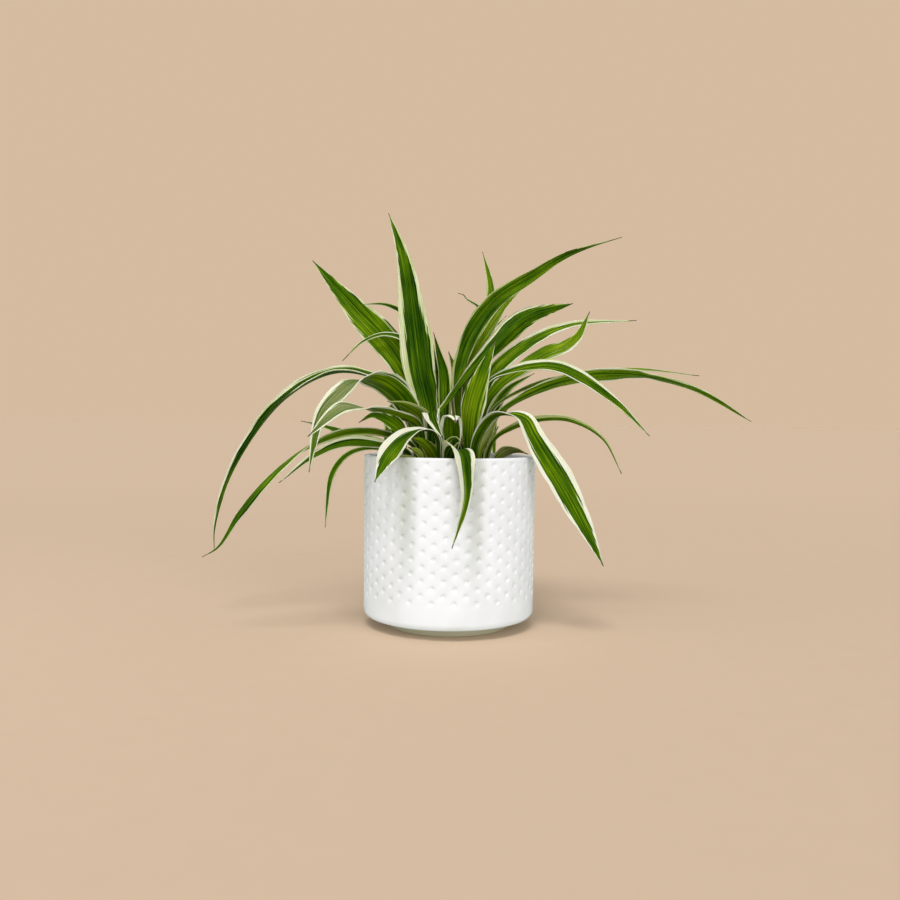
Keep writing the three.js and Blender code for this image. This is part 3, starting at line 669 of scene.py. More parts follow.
class Bench:
    """Lays out the nodes of one material."""

    def __init__(self, name: str) -> None:
        """Starts a material with a shader and nothing else.

        Args:
            name: The material's name.
        """
        self.material = bpy.data.materials.new(name)
        self.material.use_nodes = True
        self.tree = self.material.node_tree
        self.tree.nodes.clear()
        self.shader = self.add("ShaderNodeBsdfPrincipled")
        output = self.add("ShaderNodeOutputMaterial")
        self.tree.links.new(self.shader.outputs[0], output.inputs[0])

    def add(self, kind: str, **settings: object) -> bpy.types.Node:
        """Adds a node and gives it its settings.

        Args:
            kind: The node's type.
            settings: The values of its own settings.

        Returns:
            The node.
        """
        node = self.tree.nodes.new(kind)
        for key, value in settings.items():
            setattr(node, key, value)
        return node

    def feed(self, node: bpy.types.Node, socket: int | str, value: object) -> None:
        """Links a socket's source to it, or sets its value.

        Args:
            node: The node that takes it.
            socket: Which of its inputs.
            value: The source or the value.
        """
        if isinstance(value, bpy.types.NodeSocket):
            self.tree.links.new(value, node.inputs[socket])
        else:
            node.inputs[socket].default_value = value

    def finish(self, socket: str, value: object) -> None:
        """Feeds one of the shader's own sockets."""
        self.feed(self.shader, socket, value)

    def sum(self, operation: str, *terms: object, clamp: bool = False) -> bpy.types.NodeSocket:
        """The result of a Math node on up to three terms.

        Args:
            operation: What the node does.
            terms: What it does it to.
            clamp: Whether the result is held between 0 and 1.

        Returns:
            The result.
        """
        node = self.add("ShaderNodeMath", operation=operation, use_clamp=clamp)
        for index, term in enumerate(terms):
            self.feed(node, index, term)
        return node.outputs[0]

    def times(self, value: object, factor: object) -> bpy.types.NodeSocket:
        """A value times a factor."""
        return self.sum("MULTIPLY", value, factor)

    def lift(
        self, value: object, factor: object, base: object, clamp: bool = False
    ) -> bpy.types.NodeSocket:
        """A value times a factor, on top of a base."""
        return self.sum("MULTIPLY_ADD", value, factor, base, clamp=clamp)

    def swing(self, value: object, size: float, base: object) -> bpy.types.NodeSocket:
        """A noise's swing about its middle, made that large, on top of a base."""
        return self.lift(self.sum("SUBTRACT", value, 0.5), size, base)

    def rest(self, share: object) -> bpy.types.NodeSocket:
        """What a share leaves of 1."""
        return self.sum("SUBTRACT", 1.0, share)

    def step(self, value: object, low: float, high: float) -> bpy.types.NodeSocket:
        """A smooth step that is 0 at the low value and 1 at the high one.

        Args:
            value: What is stepped.
            low: Where the step starts.
            high: Where it ends.

        Returns:
            The step, from 0 to 1.
        """
        node = self.add("ShaderNodeMapRange", interpolation_type="SMOOTHSTEP")
        self.feed(node, "Value", value)
        self.feed(node, "From Min", low)
        self.feed(node, "From Max", high)
        return node.outputs[0]

    def mix(self, share: object, first: object, second: object) -> bpy.types.NodeSocket:
        """A colour between two others.

        Args:
            share: How much of the second there is, from 0 to 1.
            first: The first colour.
            second: The second colour.

        Returns:
            The mixed colour.
        """
        node = self.add("ShaderNodeMix", data_type="RGBA")
        self.feed(node, 0, share)
        self.feed(node, 6, first)
        self.feed(node, 7, second)
        return node.outputs[2]

    def vector(self, x: object, y: object, z: object) -> bpy.types.NodeSocket:
        """A vector put together from three values.

        Args:
            x: Its first value.
            y: Its second value.
            z: Its third value.

        Returns:
            The vector.
        """
        node = self.add("ShaderNodeCombineXYZ")
        for index, value in enumerate((x, y, z)):
            self.feed(node, index, value)
        return node.outputs[0]

    def split(self, vector: bpy.types.NodeSocket) -> list[bpy.types.NodeSocket]:
        """The three values of a vector.

        Args:
            vector: The vector.

        Returns:
            Its values, in order.
        """
        node = self.add("ShaderNodeSeparateXYZ")
        self.feed(node, 0, vector)
        return list(node.outputs)

    def noise(self, vector: object, scale: float, detail: float = 2.0) -> bpy.types.NodeSocket:
        """A noise from 0 to 1, with its middle at a half.

        Args:
            vector: Where it is read.
            scale: How fine it is.
            detail: How many finer layers it has.

        Returns:
            The noise.
        """
        node = self.add("ShaderNodeTexNoise")
        self.feed(node, "Vector", vector)
        self.feed(node, "Scale", scale)
        self.feed(node, "Detail", detail)
        return node.outputs[0]

    def stretched(
        self, places: Sequence[object], scales: Sequence[float], detail: float = 2.0
    ) -> bpy.types.NodeSocket:
        """A noise over three places, each of them stretched by its own scale."""
        scaled = [self.times(place, scale) for place, scale in zip(places, scales)]
        return self.noise(self.vector(*scaled), 1.0, detail)

    def cells(self, vector: object, scale: float) -> bpy.types.NodeSocket:
        """The distance to the nearest of many scattered points.

        Args:
            vector: Where it is read.
            scale: How close the points lie.

        Returns:
            The distance.
        """
        node = self.add("ShaderNodeTexVoronoi")
        self.feed(node, "Vector", vector)
        self.feed(node, "Scale", scale)
        return node.outputs["Distance"]

    def ramp(self, value: object, stops: Sequence[tuple[float, Colour]]) -> bpy.types.NodeSocket:
        """A colour from a row of stops.

        Args:
            value: Where on the row, from 0 to 1.
            stops: The place and colour of each stop.

        Returns:
            The colour.
        """
        node = self.add("ShaderNodeValToRGB")
        elements = node.color_ramp.elements
        for _ in stops[2:]:
            elements.new(0.5)
        for element, (position, colour) in zip(elements, stops):
            element.position = position
            element.color = linear(colour)
        self.feed(node, 0, value)
        return node.outputs[0]

    def place(self) -> bpy.types.NodeSocket:
        """A point's own place on the piece, in metres."""
        return self.add("ShaderNodeTexCoord").outputs["Object"]

    def attribute(self, name: str) -> tuple[list[bpy.types.NodeSocket], bpy.types.NodeSocket]:
        """The three values and the fourth of a colour attribute of the mesh."""
        node = self.add("ShaderNodeAttribute", attribute_name=name)
        return self.split(node.outputs["Vector"]), node.outputs["Alpha"]

    def bump(self, height: object, distance: float, strength: float = 1.0) -> None:
        """Gives the surface a relief of that many millimetres.

        Args:
            height: The relief's own height, about 0 to 1.
            distance: Its depth in millimetres.
            strength: How much of it shows.
        """
        node = self.add("ShaderNodeBump")
        self.feed(node, "Strength", strength)
        self.feed(node, "Distance", distance * MM)
        self.feed(node, "Height", height)
        self.finish("Normal", node.outputs[0])


@dataclass(frozen=True)
class LeafFinish:
    """The striped skin of a leaf, which follows its blade.

    Attributes:
        face: Which face of the leaf it is on.
        deep: The darkest green.
        green: The usual green.
        bright: The brightest green.
        cream: The margins' cream.
        lime: The greenish streaks in the margins.
        sheen: The painted grey-green sheen where a bend faces the light.
        brown: A dry tip.
        bark: The darkest part of a dry tip.
        roughness: How matt the skin is.
        paler: How much brighter the under face is.
    """

    face: Face
    deep: Colour = (14, 48, 0)
    green: Colour = (68, 103, 0)
    bright: Colour = (136, 161, 12)
    cream: Colour = (235, 232, 210)
    lime: Colour = (182, 190, 118)
    sheen: Colour = (138, 144, 94)
    brown: Colour = (128, 108, 84)
    bark: Colour = (62, 50, 36)
    roughness: float = 0.42
    paler: float = 0.18

    SEED_SPREAD = 57.0
    VEIN_WIDTH = 0.62
    VEIN_SPREAD = 3.71
    DRIFT_ALONG = 22.0
    STREAK_ALONG = 16.0
    STREAK_DETAIL = 1.0
    FINE_SCALES = (4200.0, 34.0, 1.0)
    FINE_DETAIL = 3.0
    CLOUD_SCALES = (120.0, 40.0, 1.0)
    GREEN_STOP = 0.38
    BRIGHT_STOP = 0.76
    STREAK_SWING = 1.1
    FINE_SWING = 0.8
    CLOUD_SWING = 0.65
    STRIPE_STEP = (0.03, 0.12)
    RAGGED_STREAK = 0.62
    RAGGED_DRIFT = 0.35
    BORDER = 0.16
    LEAST_MARGIN = 0.08
    GRAIN_SHARE = 0.6
    YOUNG_STEP = (0.015, 0.05)
    YOUNG_LIME = 0.16
    LIME_STEP = (0.56, 0.9)
    SHEEN_STEP = (0.42, 0.72)
    CRUMBLE = 0.9
    CRUMBLE_STEP = (0.3, 0.7)
    GLOSS_SWING = 0.22
    DRY_ROUGHNESS = 0.3
    SHINE = 0.03
    GLOW = 0.2
    GLOW_RADIUS = (0.9, 1.0, 0.25)
    GLOW_DEPTH = 0.0012
    STREAK_RELIEF = 0.6
    FINE_RELIEF = 0.7
    RELIEF = 0.22
    RELIEF_STRENGTH = 0.6

    def make(self) -> bpy.types.Material:
        """Builds the material.

        Returns:
            The material.
        """
        bench = Bench(f"leaf_{self.face.value}")
        across, along, _ = bench.split(bench.add("ShaderNodeUVMap", uv_map=BladeMaker.MAP).outputs[0])
        (left, right, half), seed = bench.attribute(BladeMaker.MARGINS)
        (tone, sheen_share, dry), middle = bench.attribute(BladeMaker.TONES)
        (lime, *_), _ = bench.attribute(BladeMaker.HUES)
        shift = bench.times(seed, self.SEED_SPREAD)
        drift = bench.stretched((along, shift, 0.0), (self.DRIFT_ALONG, 1.0, 1.0))
        vein = bench.sum("FLOOR", bench.lift(across, 1.0 / (self.VEIN_WIDTH * MM), drift))
        streak = bench.stretched(
            (vein, along, shift), (self.VEIN_SPREAD, self.STREAK_ALONG, 1.0), self.STREAK_DETAIL
        )
        fine = bench.stretched((across, along, shift), self.FINE_SCALES, self.FINE_DETAIL)
        margin = self._margin(bench, (across, left, right, half), (streak, drift))
        shade = self._shade(bench, (across, along, half), (tone, middle), (streak, fine, shift))
        green = bench.ramp(
            shade,
            (
                (0.0, self.deep), (self.GREEN_STOP, self.green),
                (self.BRIGHT_STOP, self.bright), (1.0, self.lime),
            ),
        )
        grain = bench.lift(fine, self.GRAIN_SHARE, bench.times(streak, self.GRAIN_SHARE))
        young = bench.rest(bench.step(along, *self.YOUNG_STEP))
        greener = bench.sum("ADD", bench.lift(young, self.YOUNG_LIME, grain), lime)
        pale = bench.mix(bench.step(greener, *self.LIME_STEP), linear(self.cream), linear(self.lime))
        # Painted sheen: on the upper face the green turns grey-green in streaks where a bend faces the
        # light.
        if self.face is Face.UPPER:
            sheen = bench.sum("MULTIPLY", sheen_share, bench.step(grain, *self.SHEEN_STEP), clamp=True)
            green = bench.mix(sheen, green, linear(self.sheen))
        skin = bench.mix(margin, green, pale)
        crumble = bench.step(bench.swing(fine, self.CRUMBLE, dry), *self.CRUMBLE_STEP)
        withered = bench.mix(streak, linear(self.bark), linear(self.brown))
        bench.finish("Base Color", bench.mix(crumble, skin, withered))
        gloss = bench.lift(fine, self.GLOSS_SWING, self.roughness - self.GLOSS_SWING / 2)
        bench.finish("Roughness", bench.lift(dry, self.DRY_ROUGHNESS, gloss, clamp=True))
        bench.finish("Specular IOR Level", self.SHINE)
        bench.finish("Subsurface Weight", self.GLOW)
        bench.finish("Subsurface Radius", self.GLOW_RADIUS)
        bench.finish("Subsurface Scale", self.GLOW_DEPTH)
        relief = bench.lift(fine, self.FINE_RELIEF, bench.times(streak, self.STREAK_RELIEF))
        bench.bump(relief, self.RELIEF, self.RELIEF_STRENGTH)
        return bench.material

    def _margin(
        self,
        bench: Bench,
        blade: Sequence[bpy.types.NodeSocket],
        noises: Sequence[bpy.types.NodeSocket],
    ) -> bpy.types.NodeSocket:
        """How far a point lies in one of the cream margins.

        Args:
            bench: The material's bench.
            blade: The place across, the two margins' widths and half the leaf's width.
            noises: The veins' own noise and the slow drift.

        Returns:
            1 in a margin and 0 in the green, with a ragged, streaky border.
        """
        across, left, right, half = blade
        streak, drift = noises
        ragged = bench.swing(streak, self.RAGGED_STREAK, bench.swing(drift, self.RAGGED_DRIFT, 0.0))
        wander = bench.times(ragged, half)
        sides = []
        for sign, width in ((1.0, left), (-1.0, right)):
            inside = bench.lift(across, sign, half)
            share = bench.sum("SUBTRACT", bench.sum("ADD", width, wander), inside)
            edge = bench.step(bench.times(share, 1.0 / MM), -self.BORDER, self.BORDER)
            shown = bench.step(bench.sum("DIVIDE", width, half), 0.0, self.LEAST_MARGIN)
            sides.append(bench.times(edge, shown))
        return bench.sum("MAXIMUM", *sides, clamp=True)

    def _shade(
        self,
        bench: Bench,
        blade: Sequence[bpy.types.NodeSocket],
        look: Sequence[bpy.types.NodeSocket],
        noises: Sequence[bpy.types.NodeSocket],
    ) -> bpy.types.NodeSocket:
        """How bright the green is at a point.

        Args:
            bench: The material's bench.
            blade: The places across and along, and half the leaf's width.
            look: The leaf's tone and its pale middle stripe.
            noises: The veins' own noise, the fine noise and the leaf's own shift.

        Returns:
            From 0, dark, to 1, pale.
        """
        across, along, half = blade
        tone, middle = look
        streak, fine, shift = noises
        if self.face is Face.UNDER:
            tone = bench.sum("ADD", tone, self.paler)
        cloud = bench.stretched((across, along, shift), self.CLOUD_SCALES)
        total = bench.swing(streak, self.STREAK_SWING, tone)
        total = bench.swing(fine, self.FINE_SWING, total)
        total = bench.swing(cloud, self.CLOUD_SWING, total)
        offset = bench.sum("ABSOLUTE", bench.sum("DIVIDE", across, half))
        stripe = bench.rest(bench.step(offset, *self.STRIPE_STEP))
        return bench.lift(stripe, middle, total, clamp=True)


@dataclass(frozen=True)
class LeafShadow:
    """A painted shadow of the overhanging leaves: a soft upright band of darker colour on the glaze,
    strongest at the top and fading out downwards.

    Attributes:
        around: Where it is round the pot, in degrees from the front.
        half: Half its width in degrees.
        rise: The heights where it starts and is strongest, in metres.
        tint: The painted shadow's colour.
    """

    around: float
    half: float
    rise: tuple[float, float]
    tint: Colour


@dataclass(frozen=True)
class GlazeFinish:
    """White, softly shining glaze on fired clay.

    Attributes:
        white: The thick glaze.
        shade: The slightly greyer clouds in it.
        clay: The bare clay of the foot.
        clay_top: How high the bare clay reaches, in metres.
        leaf_shadows: The painted shadows of the overhanging leaves on the wall; the leftmost one is also
            tinted olive as a painted reflection of the leaves.
        roughness: How matt the glaze is.
    """

    white: Colour = (250, 247, 249)
    shade: Colour = (242, 239, 239)
    clay: Colour = (208, 199, 168)
    clay_top: float = 0.0056
    leaf_shadows: tuple[LeafShadow, ...] = (
        LeafShadow(-80.6, 20.0, (0.07, 0.118), (186, 184, 163)),
        LeafShadow(-24.6, 10.0, (0.02, 0.095), (208, 208, 200)),
        LeafShadow(19.9, 8.5, (0.01, 0.095), (208, 207, 200)),
    )
    roughness: float = 0.22

    CLOUD = (34.0, 4.0)
    SPECK = (900.0, 2.0)
    SHADE_STEP = (0.4, 0.72)
    SHADOW_WANDER = 0.12
    SHADOW_CORE = 0.1
    CLAY_BORDER = 0.0008
    GLOSS_SWING = 0.16
    CLAY_ROUGHNESS = 0.45
    COAT = 0.25
    COAT_ROUGHNESS = 0.12
    CLOUD_RELIEF = 2.0
    RELIEF = 0.035
    RELIEF_STRENGTH = 0.5

    def make(self) -> bpy.types.Material:
        """Builds the material.

        Returns:
            The material.
        """
        bench = Bench("pot_glaze")
        place = bench.place()
        cloud = bench.noise(place, *self.CLOUD)
        speck = bench.noise(place, *self.SPECK)
        glazed = bench.mix(bench.step(cloud, *self.SHADE_STEP), linear(self.white), linear(self.shade))
        x, y, height = bench.split(place)
        # Painted shadows of the overhanging leaves: darker upright bands on the glaze that fade out
        # downwards.
        around = bench.lift(cloud, self.SHADOW_WANDER, bench.sum("ARCTAN2", x, bench.times(y, -1.0)))
        for shadow in self.leaf_shadows:
            half = math.radians(shadow.half)
            offset = bench.sum("ABSOLUTE", bench.sum("SUBTRACT", around, math.radians(shadow.around)))
            band = bench.step(offset, half, half * self.SHADOW_CORE)
            share = bench.times(band, bench.step(height, *shadow.rise))
            glazed = bench.mix(share, glazed, linear(shadow.tint))
        bare = bench.rest(bench.step(height, self.clay_top - self.CLAY_BORDER, self.clay_top))
        bench.finish("Base Color", bench.mix(bare, glazed, linear(self.clay)))
        gloss = bench.lift(cloud, self.GLOSS_SWING, self.roughness - self.GLOSS_SWING / 2)
        bench.finish("Roughness", bench.lift(bare, self.CLAY_ROUGHNESS, gloss))
        bench.finish("Coat Weight", bench.lift(bare, -self.COAT, self.COAT))
        bench.finish("Coat Roughness", self.COAT_ROUGHNESS)
        bench.bump(bench.lift(cloud, self.CLOUD_RELIEF, speck), self.RELIEF, self.RELIEF_STRENGTH)
        return bench.material


@dataclass(frozen=True)
class EarthFinish:
    """Loose, crumbly matter, such as soil, bark or perlite.

    Attributes:
        name: The material's name.
        dark: Its darker colour.
        light: Its lighter colour.
        grain: How many grains there are to a metre.
        relief: The relief's depth in millimetres.
        roughness: How matt it is.
    """

    name: str
    dark: Colour
    light: Colour
    grain: float
    relief: float = 0.5
    roughness: float = 0.9

    GRAIN_DETAIL = 6.0
    CLUMP_SCALE = 0.6
    CLUMP_SHARE = 0.4
    GRAIN_SHARE = 0.8
    TINT_STEP = (0.35, 0.85)
    ROUGHER = 0.15
    SMOOTHER = 0.08

    def make(self) -> bpy.types.Material:
        """Builds the material.

        Returns:
            The material.
        """
        bench = Bench(self.name)
        place = bench.place()
        grain = bench.noise(place, self.grain, self.GRAIN_DETAIL)
        clump = bench.cells(place, self.grain * self.CLUMP_SCALE)
        tint = bench.lift(clump, self.CLUMP_SHARE, bench.times(grain, self.GRAIN_SHARE))
        share = bench.step(tint, *self.TINT_STEP)
        bench.finish("Base Color", bench.mix(share, linear(self.dark), linear(self.light)))
        matt = bench.lift(grain, self.ROUGHER, self.roughness - self.SMOOTHER, clamp=True)
        bench.finish("Roughness", matt)
        bench.bump(bench.sum("SUBTRACT", grain, clump), self.relief)
        return bench.material


@dataclass(frozen=True)
class SheathFinish:
    """The pale, ribbed skin at the leaves' feet: its two colours and how matt it is."""

    pale: Colour = (206, 212, 172)
    green: Colour = (120, 146, 62)
    roughness: float = 0.42

    RIB_SCALES = (1400.0, 1400.0, 60.0)
    RIB_SHARE = 0.5
    RISE_STEP = (0.104, 0.122)
    RISE_SHARE = 0.6
    GLOSS_SWING = 0.2
    RELIEF = 0.25

    def make(self) -> bpy.types.Material:
        """Builds the material.

        Returns:
            The material.
        """
        bench = Bench("crown_sheath")
        place = bench.split(bench.place())
        ribs = bench.stretched(place, self.RIB_SCALES)
        rise = bench.times(bench.step(place[2], *self.RISE_STEP), self.RISE_SHARE)
        share = bench.lift(ribs, self.RIB_SHARE, rise, clamp=True)
        bench.finish("Base Color", bench.mix(share, linear(self.pale), linear(self.green)))
        bench.finish("Roughness", bench.lift(ribs, self.GLOSS_SWING, self.roughness))
        bench.bump(ribs, self.RELIEF)
        return bench.material


@dataclass(frozen=True)
class FloorFinish:
    """Plain, pale, matt paper, which throws no tint of its own on what stands on it.

    Attributes:
        colour: What the camera sees.
        distant: What the camera sees far off.
        bounce: What the light meets.
    """

    colour: Colour = (216, 190, 163)
    distant: tuple[float, float, float] = (220.1, 193.9, 166.5)
    bounce: Colour = (214, 217, 208)

    GRAIN = (60.0, 3.0)
    GRAIN_LIFT = 3
    FAR_STEP = (0.5, 1.8)

    def make(self) -> bpy.types.Material:
        """Builds the material.

        Returns:
            The material.
        """
        bench = Bench("studio_paper")
        place = bench.place()
        reach = bench.add("ShaderNodeVectorMath", operation="LENGTH")
        bench.feed(reach, 0, place)
        far = bench.step(reach.outputs["Value"], *self.FAR_STEP)
        lighter = tuple(value + self.GRAIN_LIFT for value in self.colour)
        near = bench.mix(bench.noise(place, *self.GRAIN), linear(self.colour), linear(lighter))
        seen = bench.mix(far, near, linear(self.distant))
        path = bench.add("ShaderNodeLightPath")
        bench.finish("Base Color", bench.mix(path.outputs["Is Camera Ray"], linear(self.bounce), seen))
        bench.finish("Roughness", 1.0)
        bench.finish("Specular IOR Level", 0.0)
        return bench.material


class Midrib:
    """The smooth curve of a leaf's midrib, at even steps, with the direction across it.

    Attributes:
        length: The curve's length in millimetres.
        points: A point for each step.
        along: The unit tangent there.
        across: The unit vector across the leaf there, before its own turn.
    """

    SAMPLES = 60
    LEAST_STEPS = 10
    LEAST_GAP = 1e-4
    EVENNESS = 0.25

    def __init__(self, leaf: Leaf, spacing: float) -> None:
        """Lays the curve through the leaf's foot and route.

        Args:
            leaf: The leaf.
            spacing: The wanted length of a step, in millimetres.
        """
        bearing = math.radians(leaf.bearing)
        foot = (
            leaf.crown.value[0] + leaf.distance * math.cos(bearing),
            leaf.crown.value[1] + leaf.distance * math.sin(bearing),
            BladeMaker.FOOT_HEIGHT,
        )
        dense = self._curve(np.array([foot, *leaf.route]))
        reach = np.concatenate([[0.0], np.cumsum(np.linalg.norm(np.diff(dense, axis=0), axis=1))])
        self.length = float(reach[-1])
        steps = max(self.LEAST_STEPS, round(self.length / spacing))
        wanted = np.linspace(0.0, self.length, steps + 1)
        self.points = np.stack([np.interp(wanted, reach, dense[:, k]) for k in range(3)], axis=1)
        along = np.gradient(self.points, axis=0)
        self.along = along / np.linalg.norm(along, axis=1, keepdims=True)
        self.across = np.zeros_like(self.along)
        direction = np.array([-math.sin(bearing), math.cos(bearing), 0.0])
        for index, tangent in enumerate(self.along):
            direction = direction - tangent * direction.dot(tangent)
            direction = direction / np.linalg.norm(direction)
            self.across[index] = direction

    def _curve(self, route: np.ndarray) -> np.ndarray:
        """Many points on a centripetal curve through a route.

        Args:
            route: The points that it runs through.

        Returns:
            Points close together, each of the route's among them.
        """
        ends = (2 * route[0] - route[1], 2 * route[-1] - route[-2])
        knots = np.vstack([ends[0], route, ends[1]])
        found = [route[0]]
        for index in range(len(route) - 1):
            before, here, there, after = knots[index:index + 4]
            gaps = [
                max(float(np.dot(b - a, b - a)) ** self.EVENNESS, self.LEAST_GAP)
                for a, b in ((before, here), (here, there), (there, after))
            ]
            leave = ((here - before) / gaps[0] - (there - before) / (gaps[0] + gaps[1])
                     + (there - here) / gaps[1]) * gaps[1]
            arrive = ((there - here) / gaps[1] - (after - here) / (gaps[1] + gaps[2])
                      + (after - there) / gaps[2]) * gaps[1]
            for part in range(1, self.SAMPLES + 1):
                t = part / self.SAMPLES
                found.append(
                    here + leave * t
                    + (-3 * here + 3 * there - 2 * leave - arrive) * t ** 2
                    + (2 * here - 2 * there + leave + arrive) * t ** 3
                )
        return np.array(found)


@dataclass(frozen=True)
class BladeMaker:
    """Makes the blades of leaves from flat grids.

    Attributes:
        thickness: The blade's thickness.
        columns: How many faces lie across it.
        spacing: The length of a face along it.
        crease: How rounded the fold along the midrib is.
        ripple: How far the edges wave, as a share of half the width.
        droop: How far the edges curl down, as a share of the same.
    """

    thickness: float = 0.45
    columns: int = 16
    spacing: float = 2.0
    crease: float = 0.2
    ripple: float = 0.07
    droop: float = 0.05

    FOOT_HEIGHT = 102.3
    FOOT_SHARE = 0.26
    # Painted shade near the foot: over this length, or this share of a short leaf, the green darkens and
    # the cream margins narrow to their least share towards the foot, where the crown is in shade.
    SHADED_LENGTH = 50.0
    SHADED_SHARE = 0.62
    SHADED_MARGIN = 0.1
    NARROWEST = 0.2
    RISE_POWER = 1.1
    WAVE_LENGTHS = (34.0, 52.0)
    SHORT_WAVE = 0.4
    SHORT_WAVE_RATE = 5.3
    DRY_FROM = 0.7
    DRY_OVER = 0.2
    LEAST_DRY = 0.1
    STREAK_SEED = 1000
    SMOOTH_ANGLE = math.radians(50.0)
    MAP = "Blade"
    MARGINS = "margins"
    TONES = "tones"
    HUES = "hues"

    def half_widths(self, leaf: Leaf, places: np.ndarray) -> np.ndarray:
        """Half the width of a leaf at places from its foot, 0, to its tip, 1.

        Args:
            leaf: The leaf.
            places: The places.

        Returns:
            The half width at each of them, in millimetres.
        """
        rise = smooth(np.clip(places / leaf.widest, 0.0, 1.0) ** self.RISE_POWER)
        growing = leaf.width / 2 * (self.FOOT_SHARE + (1 - self.FOOT_SHARE) * rise)
        fall = np.clip((places - leaf.widest) / (1 - leaf.widest), 0.0, 1.0) ** leaf.taper
        fading = leaf.width / 2 * (1 - fall)
        return np.maximum(self.NARROWEST, np.where(places < leaf.widest, growing, fading))

    def blade(self, leaf: Leaf, seed: int) -> bpy.types.Object:
        """Makes one leaf's blade.

        Args:
            leaf: The leaf.
            seed: A number of its own, for its ripples and streaks.

        Returns:
            The blade, a closed thin shell with its upper face in the first material slot.
        """
        rib = Midrib(leaf, self.spacing)
        steps = len(rib.points) - 1
        piece, flat = flat_grid(self.columns, steps)
        row = grid_lines(flat[:, 1], steps)
        rightwards = flat[:, 0].astype(float)
        place = row / steps
        half = self.half_widths(leaf, place)
        corners = self._bent(leaf, rib, (rightwards, row, place, half), seed)
        piece.data.vertices.foreach_set("co", (corners * MM).ravel())
        self._mark(piece, leaf, (rightwards, place, half, rib.length), seed)
        self._thicken(piece)
        return piece

    def _bent(
        self, leaf: Leaf, rib: Midrib, grid: Sequence[np.ndarray], seed: int
    ) -> np.ndarray:
        """The grid's vertices, folded, turned and laid along the midrib.

        Args:
            leaf: The leaf.
            rib: Its midrib.
            grid: For each vertex its place to the right from -1 to 1, its row, its place along
                and half the width there.
            seed: The leaf's own number.

        Returns:
            The places in millimetres.
        """
        rightwards, row, place, half = grid
        turn = np.radians(along_list(leaf.turn, place))[:, None]
        across = rib.across[row]
        along = rib.along[row]
        side = across * np.cos(turn) + np.cross(along, across) * np.sin(turn)
        up = np.cross(along, side)
        fold = np.radians(along_list(leaf.fold, place))
        outwards = np.abs(rightwards)
        bend = (np.sqrt(outwards ** 2 + self.crease ** 2) - self.crease) / (
            math.sqrt(1 + self.crease ** 2) - self.crease
        )
        draw = random.Random(seed)
        reach = place * rib.length
        wave = np.zeros_like(place)
        for sign in (-1, 1):
            length = draw.uniform(*self.WAVE_LENGTHS)
            start = draw.uniform(0.0, 2 * math.pi)
            swing = np.sin(reach / length * 2 * math.pi + start)
            short = np.sin(reach / length * self.SHORT_WAVE_RATE * math.pi + 2 * start)
            swing = swing + self.SHORT_WAVE * short
            wave = wave + np.where(np.sign(rightwards) == sign, swing, 0.0)
        rise = half * (np.sin(fold) * bend + self.ripple * wave * outwards ** 2)
        rise = rise - half * self.droop * outwards ** 4
        sideways = -half * np.cos(fold) * rightwards
        return rib.points[row] + side * sideways[:, None] + up * rise[:, None]

    def _mark(
        self, piece: bpy.types.Object, leaf: Leaf, grid: Sequence[object], seed: int
    ) -> None:
        """Gives the blade its map in metres and the values that its skin follows.

        Args:
            piece: The blade.
            leaf: The leaf.
            grid: For each vertex its place to the right, its place along and half the width
                there, and the leaf's length.
            seed: The leaf's own number.
        """
        rightwards, place, half, length = grid
        mesh = piece.data
        loops = np.empty(len(mesh.loops), dtype=np.int32)
        mesh.loops.foreach_get("vertex_index", loops)
        layer = mesh.uv_layers[0]
        layer.name = self.MAP
        flat = np.stack([rightwards * half * MM, place * length * MM], axis=1)
        layer.data.foreach_set("uv", flat[loops].astype(np.float32).ravel())
        tip = smooth(1 - (1 - place) * length / max(leaf.dry, self.LEAST_DRY))
        outer = smooth((np.abs(rightwards) - self.DRY_FROM) / self.DRY_OVER)
        edge = np.where(rightwards < 0, leaf.edge[0], leaf.edge[1]) * outer
        own = np.full_like(place, random.Random(self.STREAK_SEED + seed).random())
        # Painted shade: towards the foot, in the crown's shade, the green darkens and the cream margins
        # narrow.
        out_of_crown_shade = smooth(place * length / min(self.SHADED_LENGTH, self.SHADED_SHARE * length))
        shown = self.SHADED_MARGIN + (1 - self.SHADED_MARGIN) * out_of_crown_shade
        left, right = (along_list(side, place) * shown * half * MM for side in (leaf.left, leaf.right))
        margins = (left, right, half * MM, own)
        tones = (
            along_list(leaf.tone, place) * out_of_crown_shade,
            along_list(leaf.sheen_share, place),
            np.maximum(tip, edge),
            np.full_like(place, leaf.middle),
        )
        none = np.zeros_like(place)
        hues = (np.full_like(place, leaf.lime), none, none, none)
        for name, columns in ((self.MARGINS, margins), (self.TONES, tones), (self.HUES, hues)):
            values = mesh.attributes.new(name, "FLOAT_COLOR", "POINT")
            values.data.foreach_set("color", np.stack(columns, axis=1).astype(np.float32).ravel())

    def _thicken(self, piece: bpy.types.Object) -> None:
        """Gives the sheet its thickness, with its under face in the second material slot.

        Args:
            piece: The blade.
        """
        only(piece)
        shell = piece.modifiers.new("thickness", "SOLIDIFY")
        shell.thickness = self.thickness * MM
        shell.offset = 0.0
        shell.material_offset = 1
        bpy.ops.object.modifier_apply(modifier=shell.name)
        bpy.ops.object.shade_smooth_by_angle(angle=self.SMOOTH_ANGLE)


